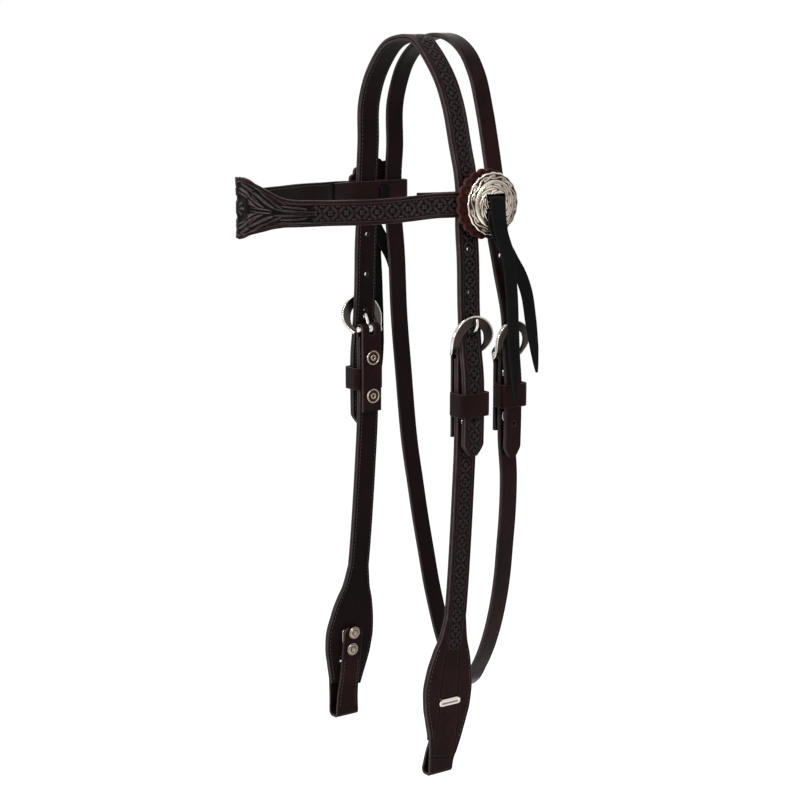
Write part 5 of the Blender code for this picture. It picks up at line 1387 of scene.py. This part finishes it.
@dataclass
class BitEnd:
    """Quick-change tab with its hook plate and two rivets."""

    cheek: Cheek
    lead: float = 0.0005
    top_depth: float = 0.5005
    straight_height: float = 0.031
    tip: float = 0.005
    rivet_depth: float = 0.519
    rivet_spacing: float = 0.0145
    plate: float = 0.0012
    rivet_shares: Shares = (
        (-1.0, 0.02, 0.0), (-0.99, 0.2, 0.0), (-0.93, 0.36, 0.1), (-0.8, 0.44, 0.7), (-0.78, 0.5, 0.7), (-0.74, 0.62, 0.1),
        (-0.56, 0.78, 0.0), (-0.38, 0.86, 0.7), (-0.3, 0.92, 0.3), (-0.12, 1.0, 0.0), (0.0, 0.97, 0.5),
    )

    @property
    def face(self) -> float:
        """Outer face of the tab where it lies behind the panel."""
        return LINING_INSIDE - SEAT_GAP - self.plate - SEAT_GAP - FACE_PLY

    def tab_route(self) -> Route:
        """Line of the tab from the foot of the loop to its tip."""
        cheek = self.cheek
        bottom, bend = cheek.bottom, cheek.loop_bend
        y = float(cheek.y_at(bottom))
        start = np.array([CHEEK_SPREAD - bend - cheek.loop_flat - SEAT_GAP / 2, y, bottom])
        curve = arc(start + np.array([-self.lead, 0, bend]), -Z, -X, bend, 0, 90, 14)
        straight = bottom + self.straight_height
        halfway = between(bottom + bend, straight, 0.5)
        lean = np.array([[between(curve[-1][0], self.face, 0.5), float(cheek.y_at(halfway)), halfway]])
        z = np.linspace(straight, -self.top_depth, 12)
        rise = np.stack([np.full(12, self.face), cheek.y_at(z), z], axis=1)
        upper = through(np.vstack([curve[-1:], lean, rise]), 10)
        return Route(spaced(np.vstack([start[None], curve, upper[1:]]), FINE), Y)

    def hook_strap(self) -> Strap:
        """Hook plate: flat under the rivets, out through the slot, then a lip down the panel."""
        y = float(self.cheek.y_at(-self.cheek.hook_depth))
        lip, bend = 0.0056, 0.0013
        plate_x = LINING_INSIDE - SEAT_GAP - self.plate / 2
        lip_x = CHEEK_SPREAD + 0.0006 + self.plate / 2
        shank = (lip - self.plate) / 2 - self.cheek.hook_depth
        top = np.array([[plate_x, y, self.rivet_spacing + 0.0032 - self.rivet_depth]])
        inner = arc(np.array([plate_x + bend, y, shank + bend]), -X, -Z, bend, 0, 90, 10)
        outer = arc(np.array([lip_x - bend, y, shank - bend]), Z, X, bend, 0, 90, 10)
        end = np.array([[lip_x, y, shank + self.plate / 2 - lip]])
        line = np.vstack([top, inner, outer, end])
        route = Route(spaced(line, 0.0003), Y)
        ends = np.minimum(route.runs, route.runs[-1] - route.runs)
        lip_start = run_of(np.vstack([top, inner, outer]))[-1] - 0.0006
        widths = 0.0073 + 0.0031 * ramp(route.runs, lip_start - 0.0012, lip_start + 0.0006)
        widths = widths - 0.0022 * (1 - np.sqrt(1 - (1 - np.clip(ends / 0.0019, 0, 1)) ** 2))
        stamp = LipStamp(lip_start, route.runs[-1])
        return Strap(route, widths, self.plate, 0.0, 37, 0.0004, tooling=stamp)

    def build(self) -> None:
        """Make the tab, its stitches, the hook plate and the rivets."""
        cheek, side = self.cheek, self.cheek.side
        label = side.label
        body = Ride.BIT_TAB.on(side)
        route = self.tab_route()
        z = route.points[:, 2]
        neck = float(cheek.half_width(cheek.bottom))
        widths = neck + (STRAP_WIDTH / 2 - neck) * np.clip((z - cheek.bottom) / self.straight_height, 0, 1)
        widths = widths * tip_width(-self.top_depth - z, self.tip, 0.7)
        outside = Strap(route, widths, FACE_PLY, FACE_PLY / 2, 31, tooling=SeamGroove(0.0026, 0.0003))
        tab = outside.build(f"bit_tab_folded_{label}", PLAIN, side)
        holes = [
            (np.array([self.face, float(cheek.y_at(height)), height]), ring_outline(0.0019), FACE_PLY + self.plate + 0.002)
            for height in (self.rivet_spacing - self.rivet_depth, -self.rivet_depth)
        ]
        bore(tab, holes, side)
        foot = np.array([side.value * (CHEEK_SPREAD - cheek.loop_bend - cheek.loop_flat), float(cheek.y_at(cheek.bottom)), cheek.bottom])
        register(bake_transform(tab), "plain_leather", f"bit_tab_{label}")
        seam = Seam(route, 0.0)
        rows = [
            (0.012, route.runs[-1] - 0.026, lambda run, k=k: k * (np.interp(run, route.runs, widths) - 0.0026)) for k in (1, -1)
        ]
        stitches = seam.build(f"tab_stitches_{label}", rows, side)
        register(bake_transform(stitches), None)
        hook = self.hook_strap().build(f"bit_hook_pressed_{label}", NICKEL, side)
        bore(hook, holes, side)
        dress(hook, body, "nickel", f"bit_hook_{label}")
        dome = rounded_line(np.array(self.rivet_shares) * (0.0021, 0.0054, 1), 5)
        length = 2 * SEAT_GAP + FACE_PLY + self.plate
        profile = np.vstack([dome, [(0, 0.0016, 1), (length, 0.0016, 1), (length, 0.0001, 1)]])
        for level, hole in zip(Level, holes):
            made = turned(f"tab_rivet_{level.value}_domed_{label}", hole[0] - X * SEAT_GAP, X, profile, 40, DULL_NICKEL, side)
            dress(made, body, "nickel", f"tab_rivet_{level.value}_{label}")


@dataclass
class ConchoSet:
    """Scalloped rosette, engraved concho and the string that ties them on."""

    side: Side
    rosette_ply: float = 0.0033
    rosette_radius: float = 0.0279
    scallops: int = 20
    radius: float = 0.0246
    rise: float = 0.0086
    wall: float = 0.0014
    slot_spacing: float = 0.0108
    string_width: float = 0.0084
    string_ply: float = 0.002
    bend: float = 0.0017
    string_y: float = 0.014
    rosette_y: float = 0.0125
    concho_y: float = 0.0165
    dome_shares: Shares = (
        (0.0, 0.985), (0.06, 1.0), (0.3, 1.0), (0.37, 0.99), (0.42, 0.955), (0.5, 0.86), (0.6, 0.755), (0.64, 0.735), (0.71, 0.69),
        (0.71, 0.65), (0.67, 0.62), (0.73, 0.56), (0.83, 0.44), (0.93, 0.26), (0.985, 0.12), (1.0, 0.004),
    )
    front_shares: Shares = (
        (0.0, 0.0, 0.0), (0.13, 0.16, 0.22), (0.21, 0.44, 0.46), (0.41, 0.88, 0.69), (0.68, 1.0, 0.82), (0.92, 1.0, 0.96), (1.0, 1.0, 0.985),
    )
    rear_shares: Shares = (
        (0.0, 0.0, 0.0), (0.105, 0.1, 0.14), (0.24, 0.3, 0.39), (0.35, 0.55, 0.6), (0.45, 0.75, 0.72), (0.65, 0.95, 0.835),
        (0.83, 1.0, 0.926), (1.0, 1.0, 1.0),
    )
    width_shares: Shares = ((0.0, 1.3), (0.12, 1.14), (0.3, 1.04), (0.68, 0.97), (0.85, 0.72), (0.95, 0.4), (1.0, 0.14))

    @property
    def base(self) -> float:
        """Plane that the concho's rim lies on."""
        return BROW_OUTSIDE + SEAT_GAP + self.rosette_ply + SEAT_GAP

    @property
    def heights(self) -> tuple[float, float]:
        """Heights of the two slots."""
        return -BROW_DEPTH + self.slot_spacing / 2, -BROW_DEPTH - self.slot_spacing / 2

    def disc(self, centre: Array, along: Array, radius: Array) -> Array:
        """Sections of a disc whose rows are rings, as (ring, corner, coordinate)."""
        turn = np.linspace(0, math.tau, along.shape[1], endpoint=False)
        x = centre[0] + along
        return np.stack([x, centre[1] + radius * np.cos(turn), centre[2] + radius * np.sin(turn)], axis=-1)

    def rosette(self) -> bpy.types.Object:
        """Scalloped leather washer with a pressed petal in each scallop."""
        sides = 400
        turn = np.linspace(0, math.tau, sides, endpoint=False)
        lobe = np.abs(np.sin(turn * self.scallops / 2))
        edge = self.rosette_radius - 0.0019 * (1 - lobe)
        ply = self.rosette_ply
        rings, depths, edges = [], [], []
        face_shares = np.concatenate([np.linspace(0.02, 0.7, 6), np.linspace(0.74, 0.968, 18)])
        for share in face_shares:
            radius = edge * share
            petal = bell(share * self.rosette_radius - 0.0229, 0.0014) * lobe
            pit = bell(share * self.rosette_radius - 0.0251, 0.0006) * bell(1 - lobe, 0.25)
            crease = bell(edge - radius - 0.0014, 0.0003)
            depth = 0.0004 * crease + 0.00045 * (1 - petal) * ramp(np.full(sides, share), 0.77, 0.8) * (share < 0.9) + 0.0003 * pit
            rings.append((np.full(sides, ply) - depth, radius))
            depths.append(depth / 0.00055)
            edges.append(np.zeros(sides))
        # The rounded rim rings take the edge share: burnished edge tone and painted highlight.
        for angle in (25, 55, 85, 125, 155, 180):
            a = math.radians(angle)
            corner = 0.0009
            level = ply - corner + corner * math.cos(a) if angle < 90 else corner + corner * math.cos(a)
            rings.append((np.full(sides, level), edge * 0.968 + corner * math.sin(a)))
            depths.append(np.zeros(sides))
            edges.append(np.full(sides, math.sin(a)))
        for share in (0.9, 0.5, 0.02):
            rings.append((np.zeros(sides), edge * share))
            depths.append(np.zeros(sides))
            edges.append(np.zeros(sides))
        along, radius = (np.array([ring[i] for ring in rings]) for i in range(2))
        centre = np.array([BROW_OUTSIDE + SEAT_GAP, self.rosette_y, -BROW_DEPTH])
        # The rim's last ring and the back rings take the flesh share: painted shade on the rosette's back.
        inside = np.zeros(along.shape)
        inside[-4:] = 1
        masks = np.stack([np.clip(depths, 0, 1), np.array(edges), inside], axis=-1)
        made = lofted(f"rosette_scalloped_{self.side.label}", self.disc(centre, along, radius), ROSETTE, self.side, masks=masks)
        slit = oblong(0.0046, 0.0014, 0.0004)
        bore(made, [(np.array([BROW_OUTSIDE, self.string_y, z]), slit, 0.006) for z in self.heights], self.side)
        return made

    def engraving(self, share: Array, turn: Array) -> Array:
        """Depth share cut into the concho by radius share and turn."""
        wave = 7
        vine = 0.855 + 0.045 * np.sin(turn * wave)
        stem = bell(share - vine, 0.013)
        cell = (turn * wave / math.tau * 2) % 1 - 0.5
        up = np.where((turn * wave / math.tau * 2) % 2 < 1, -1.0, 1.0)
        spot = share - (0.855 + up * 0.042)
        away = np.hypot(cell * 0.38, spot)
        bloom = swell(away / 0.062) * (0.62 + 0.38 * np.cos(np.arctan2(spot, cell * 0.38) * 5)) - 0.8 * bell(away, 0.014)
        leaf = swell(np.hypot((cell - up * 0.28) * 0.16 + spot * 0.5, (spot + up * 0.01) * 1.2) / 0.034) * 0.8
        outer = np.clip(np.maximum(np.maximum(stem, bloom), leaf), 0, 1)
        rim_line = 0.8 * (bell(share - 0.952, 0.009) + bell(share - 0.772, 0.009))
        band = ((share > 0.765) & (share < 0.955)) * 0.8
        rope = 0.5 + 0.5 * np.cos(turn * 44 + share * 110)
        roped = bell(share - 0.69, 0.035)
        curl = np.sin(turn * 5 + 2.6 * np.sin(share * 17))
        scrolls = np.maximum(bell(curl, 0.5), 0.9 * bell(share - 0.475, 0.014))
        inner_band = ramp(share, 0.3, 0.34) * (1 - ramp(share, 0.635, 0.66))
        beads = bell(share - 0.655, 0.012) * (0.5 + 0.5 * np.cos(turn * 70))
        return np.clip(band * (1 - outer) + rim_line + roped * (1 - rope) * 0.8 + inner_band * scrolls * 0.85 + beads * 0.8, 0, 1)

    def concho(self) -> bpy.types.Object:
        """Domed disc, engraved and hollow behind."""
        sides = 288
        turn = np.linspace(0, math.tau, sides, endpoint=False)[None]
        outer = spaced(np.column_stack([np.array(self.dome_shares) * (self.rise, self.radius), np.zeros(len(self.dome_shares))]), 0.0003)
        outer = outer[::-1]
        hollow = [(self.rise - self.wall, 0.0001), (self.rise - self.wall, 0.005), (self.rise * 0.68 - self.wall, 0.0125)]
        hollow += [(self.rise * 0.5 - self.wall, 0.0175), (0.0006, 0.0215), (0.0, 0.0228)]
        share = outer[:, 1:2] / self.radius
        on_face = outer[:, 0:1] > self.rise * 0.34
        depth = self.engraving(share, turn) * on_face * (share < 0.985)
        wavy = 1 + 0.011 * np.cos(turn * 20) * ramp(share, 0.86, 1.0)
        along = outer[:, 0:1] - 0.00055 * depth
        radius = np.broadcast_to(outer[:, 1:2] * wavy, along.shape)
        back = np.array(hollow)[::-1]
        back_along = np.broadcast_to(back[:, :1], (len(back), sides))
        back_radius = np.broadcast_to(back[:, 1:], (len(back), sides))
        centre = np.array([self.base, self.concho_y, -BROW_DEPTH])
        places = self.disc(centre, np.vstack([along, back_along]), np.vstack([radius, back_radius]))
        masks = np.zeros((*places.shape[:2], 3))
        masks[: len(outer), :, 0] = depth
        made = lofted(f"concho_engraved_{self.side.label}", places, SILVER, self.side, masks=masks)
        outline = oblong(0.0091, 0.0027, 0.0013)
        slots = [(np.array([self.base + self.rise / 2, self.concho_y, z]), outline, self.rise) for z in self.heights]
        bore(made, slots, self.side)
        return made

    def loop(self) -> bpy.types.Object:
        """Hidden run of the string, from under the concho through the band and back."""
        high, low = self.heights
        inside, bend, y = BROW_INSIDE - SEAT_GAP - self.string_ply / 2, self.bend, self.string_y
        end = self.base + 0.0022
        line = np.vstack(
            [
                [(end, y, high)],
                arc(np.array([inside + bend, y, high - bend]), Z, -X, bend, 0, 90, 8),
                arc(np.array([inside + bend, y, low + bend]), -X, -Z, bend, 0, 90, 8),
                [(end, y, low)],
            ]
        )
        route = Route(spaced(line, 0.001), Y)
        strap = Strap(route, np.full(len(route.points), self.string_width / 2), self.string_ply, 0.0, 9, 0.0006)
        return strap.build(f"string_loop_laced_{self.side.label}", STRING, self.side)

    def tail(self, front: bool) -> tuple[bpy.types.Object, Array]:
        """One end of the string, from under the concho out of its slot and down to a cut point."""
        top = self.base + self.rise
        high, low = self.heights
        out, z = (top + 0.0037, high) if front else (top + 0.001, low)
        shares, length, lean, sway = (
            (self.front_shares, 0.152, 0.0031, 0.0175) if front else (self.rear_shares, 0.121, 0.0028, 0.041)
        )
        y, bend = self.string_y, self.bend
        pivot = np.array([out, y, z - bend - 0.0033 - 0.0004 - self.string_width / 2])
        head = arc(np.array([out - bend, y, z - bend]), Z, X, bend, 0, 90, 10)
        path = through([pivot + np.array([lean * x, sway * back, -length * down]) for down, x, back in shares])
        line = np.vstack([[(self.base + 0.0026, y, z)], head, path])
        route = Route(spaced(line, 0.0009), Y)
        at_pivot = np.interp(pivot[2], -route.points[::-1, 2] * -1, route.runs[::-1]) if False else run_of(np.vstack([line[:1], head, pivot[None]]))[-1]
        down = np.clip((route.runs - at_pivot) / (route.runs[-1] - at_pivot), 0, 1)
        widths = 0.0056 * np.interp(down, *np.array(self.width_shares).T)
        grow = ramp(route.runs, 0.0, 0.6 * at_pivot)
        widths = np.where(route.runs < at_pivot, self.string_width / 2 + (widths[np.searchsorted(route.runs, at_pivot)] - self.string_width / 2) * grow, widths)
        strap = Strap(route, widths, self.string_ply, 0.0, 13, 0.0007)
        word = "front" if front else "rear"
        return strap.build(f"string_{word}_tail_{self.side.label}", STRING, self.side), pivot

    def build(self) -> None:
        """Make the rosette, the concho, the string's loop and its tails."""
        label = self.side.label
        dress(self.rosette(), "straps", "rosette_leather", f"rosette_{label}")
        dress(self.concho(), "straps", "silver", f"concho_{label}")
        dress(self.loop(), "straps", "string_leather", f"string_loop_{label}")
        for front, ride in ((True, Ride.STRING_FRONT), (False, Ride.STRING_REAR)):
            piece, pivot = self.tail(front)
            start = pivot * (self.side.value, 1, 1) + Z * 0.002
            end = start - Z * 0.014
            register(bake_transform(piece, "straps", ride.on(self.side), tuple(start), tuple(end)), "string_leather", f"{ride.value}_{label}")


@dataclass
class Throatlatch:
    """Plain strap from the fold at the near buckle, under the throat, over the poll, to its billet."""

    drop: float = 0.549
    tail_depth: float = 0.331
    over_shares: Shares = (
        (-0.972, -0.724), (-0.954, -0.388), (-0.872, -0.26), (-0.772, -0.156), (-0.633, -0.072), (-0.32, 0.026), (-0.035, 0.052),
        (0.246, 0.02), (0.486, -0.068), (0.633, -0.18), (0.8, -0.428), (0.889, -0.612), (0.965, -0.79),
    )
    level_shares: tuple = (0.88, 1.0, 1.12)
    side_shares: Shares = ((0.119, 1.028, 0.18), (0.256, 1.065, 0.37), (0.365, 1.06, 0.53))
    loop_shares: Shares = (
        (0.531, 0.985, 0.68), (0.601, 0.93, 0.776), (0.672, 0.858, 0.843), (0.743, 0.775, 0.92), (0.814, 0.667, 0.957),
        (0.861, 0.571, 0.976), (0.911, 0.442, 0.98), (0.948, 0.314, 0.983), (0.983, 0.165, 0.985), (1.0, 0.0, 0.985),
    )
    billet_shares: Shares = ((0.41, 0.2, 0.42), (0.74, 0.47, 0.97), (1.0, 0.69, 1.0))
    tail_shares: Shares = ((0.22, 0.9), (0.55, 0.94), (1.0, 0.85))

    def loop_point(self, row: tuple, side: int) -> tuple:
        """Outer face between the browband and the throat."""
        place, spread, drift = row
        return (side * CHEEK_SPREAD * spread, throat_y(drift), -between(BROW_DEPTH, self.drop, place))

    def billet(self, sizes: BuckleSizes) -> list:
        """Outer face from behind the near rosette to the tip."""
        points = [(CHEEK_SPREAD, THROAT_SPACING, -BROW_DEPTH * share) for share in self.level_shares]
        for place, rise, drift in self.billet_shares:
            points.append(on_billet(between(BROW_DEPTH, THROAT_BAR_DEPTH, place), rise, throat_y(0.49 * drift)))
        for place, rise in self.tail_shares:
            points.append(on_billet(between(THROAT_BAR_DEPTH, self.tail_depth, place), rise, sizes.bar[1]))
        return points

    def route(self, sizes: BuckleSizes) -> Route:
        """Line of the whole strap."""
        fold = sizes.fold()
        x, y, z = sizes.outer_face, sizes.bar[1], sizes.bar[2]
        points = [tuple(fold[-1])] + [(x, y, z + height) for height in np.linspace(-0.0145, -sizes.fold_length, 5)]
        points += [self.loop_point(row, 1) for row in self.loop_shares]
        points += [self.loop_point(row, -1) for row in reversed([*self.side_shares, *self.loop_shares[:-1]])]
        billet = self.billet(sizes)
        points += [(-px, py, pz) for px, py, pz in reversed(billet[: len(self.level_shares)])]
        points += [(CHEEK_SPREAD * px, THROAT_SPACING, BROW_DEPTH * pz) for px, pz in self.over_shares] + billet
        return Route(spaced(np.vstack([fold[:-1], through(points)]), 0.0011), Y)

    def billet_openings(self, sizes: BuckleSizes) -> list[Shape]:
        """Holes of the billet. Those below the bar stop short of the fold inside them."""
        reach = BILLET_RISE / 2 + 0.002
        long_place = np.array([CHEEK_SPREAD, sizes.bar[1], sizes.bar[2] + BUCKLE_HEIGHT * 0.432])
        shallow = X * (0.0015 + SEAT_GAP + reach)
        shapes = [(long_place + Z * HOLE_PITCH * step, ring_outline(0.0022), reach) for step in (1, 2)]
        line = through(self.billet(sizes))
        for place, _, _ in shapes:
            place[1] = np.interp(-place[2], -line[:, 2], line[:, 1])
        shapes += [(long_place - Z * HOLE_PITCH * step + shallow, ring_outline(0.0022), reach) for step in (1, 2)]
        return shapes + [(long_place, oblong(0.0019, 0.0052, 0.0018), BILLET_RISE)]

    def build(self) -> None:
        """Make the strap and its buckle."""
        sizes = throat_buckle()
        route = self.route(sizes)
        widths = THROAT_WIDTH / 2 * tip_width(route.runs[-1] - route.runs, 0.009, 0.35)
        strap = Strap(route, widths, THROAT_PLY, THROAT_PLY / 2, 27, 0.0011, tooling=EdgeCrease(0.0024))
        made = strap.build("throatlatch_strap_creased", PLAIN)
        bore(made, sizes.openings() + self.billet_openings(sizes))
        dress(made, "straps", "plain_leather", "throatlatch_strap")
        Buckle(sizes, "throat", Side.NEAR).build()


@dataclass
class Studio:
    """Camera at the photograph's angle, pale floor, soft lamps and a white background."""

    camera_place: tuple = (1.2700, -0.9101, 0.0036)
    forward: tuple = (-0.8030, 0.5661, -0.1857)
    lens: float = 86.6
    floor_height: float = -1.15
    floor_colour: Colour = (0.82, 0.82, 0.82)

    def camera(self) -> None:
        """Make the camera."""
        data = bpy.data.cameras.new("camera")
        data.lens, data.sensor_width = self.lens, 36.0
        data.clip_start, data.clip_end = 0.05, 50
        made = bpy.data.objects.new("camera", data)
        forward = Vector(self.forward).normalized()
        made.matrix_world = Matrix.Translation(self.camera_place) @ forward.to_track_quat("-Z", "Y").to_matrix().to_4x4()
        bpy.context.scene.collection.objects.link(made)
        bpy.context.scene.camera = made

    def seen_rays(self, tree: bpy.types.NodeTree) -> bpy.types.NodeSocket:
        """One for rays from the camera, and for those that metal or glass sends on."""
        path = tree.nodes.new("ShaderNodeLightPath")
        total = path.outputs["Is Camera Ray"]
        for name in ("Is Glossy Ray", "Is Transmission Ray"):
            either = tree.nodes.new("ShaderNodeMath")
            either.operation = "MAXIMUM"
            tree.links.new(total, either.inputs[0])
            tree.links.new(path.outputs[name], either.inputs[1])
            total = either.outputs[0]
        return total

    def world(self) -> None:
        """White to the camera and in reflections, and a plain soft light otherwise."""
        world = bpy.data.worlds.new("studio")
        bpy.context.scene.world = world
        world.use_nodes = True
        tree = world.node_tree
        back = tree.nodes["Background"]
        back.inputs["Color"].default_value = (1, 1, 1, 1)
        strength = tree.nodes.new("ShaderNodeMapRange")
        strength.inputs["To Min"].default_value, strength.inputs["To Max"].default_value = 0.34, 1.0
        tree.links.new(self.seen_rays(tree), strength.inputs["Value"])
        tree.links.new(strength.outputs[0], back.inputs["Strength"])

    def floor(self) -> None:
        """Pale floor that keeps the object's shadow."""
        mesh = bpy.data.meshes.new("floor")
        reach = 60
        corners = [(-reach, -reach, self.floor_height), (reach, -reach, self.floor_height), (reach, reach, self.floor_height), (-reach, reach, self.floor_height)]
        mesh.from_pydata(corners, [], [(0, 1, 2, 3)])
        made = bpy.data.objects.new("floor", mesh)
        bpy.context.scene.collection.objects.link(made)
        material = bpy.data.materials.new("floor_paper")
        material.use_nodes = True
        tree = material.node_tree
        shader = tree.nodes["Principled BSDF"]
        shader.inputs["Base Color"].default_value = (*self.floor_colour, 1)
        shader.inputs["Roughness"].default_value = 0.9
        shader.inputs["Emission Color"].default_value = (1, 1, 1, 1)
        glow = tree.nodes.new("ShaderNodeMath")
        glow.operation = "MULTIPLY"
        glow.inputs[1].default_value = 0.68
        tree.links.new(self.seen_rays(tree), glow.inputs[0])
        tree.links.new(glow.outputs[0], shader.inputs["Emission Strength"])
        mesh.materials.append(material)

    def lamp(self, name: str, place: tuple, aim: tuple, size: float, power: float) -> None:
        """One soft square lamp."""
        data = bpy.data.lights.new(name, "AREA")
        data.shape, data.size, data.energy = "SQUARE", size, power
        made = bpy.data.objects.new(name, data)
        made.location = place
        made.rotation_mode = "QUATERNION"
        made.rotation_quaternion = (Vector(aim) - Vector(place)).to_track_quat("-Z", "Y")
        bpy.context.scene.collection.objects.link(made)

    def build(self) -> None:
        """Make the studio."""
        bpy.context.scene.view_settings.view_transform = "Standard"
        self.camera()
        self.world()
        self.floor()
        middle = (0.0, 0.0, -0.3)
        self.lamp("key_lamp", (1.72, -0.77, 1.15), middle, 0.4, 26)
        self.lamp("front_lamp", (0.35, -2.0, 0.25), middle, 0.7, 30)
        self.lamp("top_lamp", (-0.6, -0.2, 1.7), middle, 0.6, 12)


def main() -> None:
    """Build every sub-assembly in order."""
    logging.basicConfig(level=logging.INFO, format="%(message)s")
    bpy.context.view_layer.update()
    Studio().build()
    CrownStrap().build()
    Browband().build()
    for side in Side:
        cheek = Cheek(side)
        cheek.build()
        Buckle(cheek_buckle(), "cheek", side).build()
        BitEnd(cheek).build()
        ConchoSet(side).build()
    Throatlatch().build()


if __name__ == "__main__":
    main()
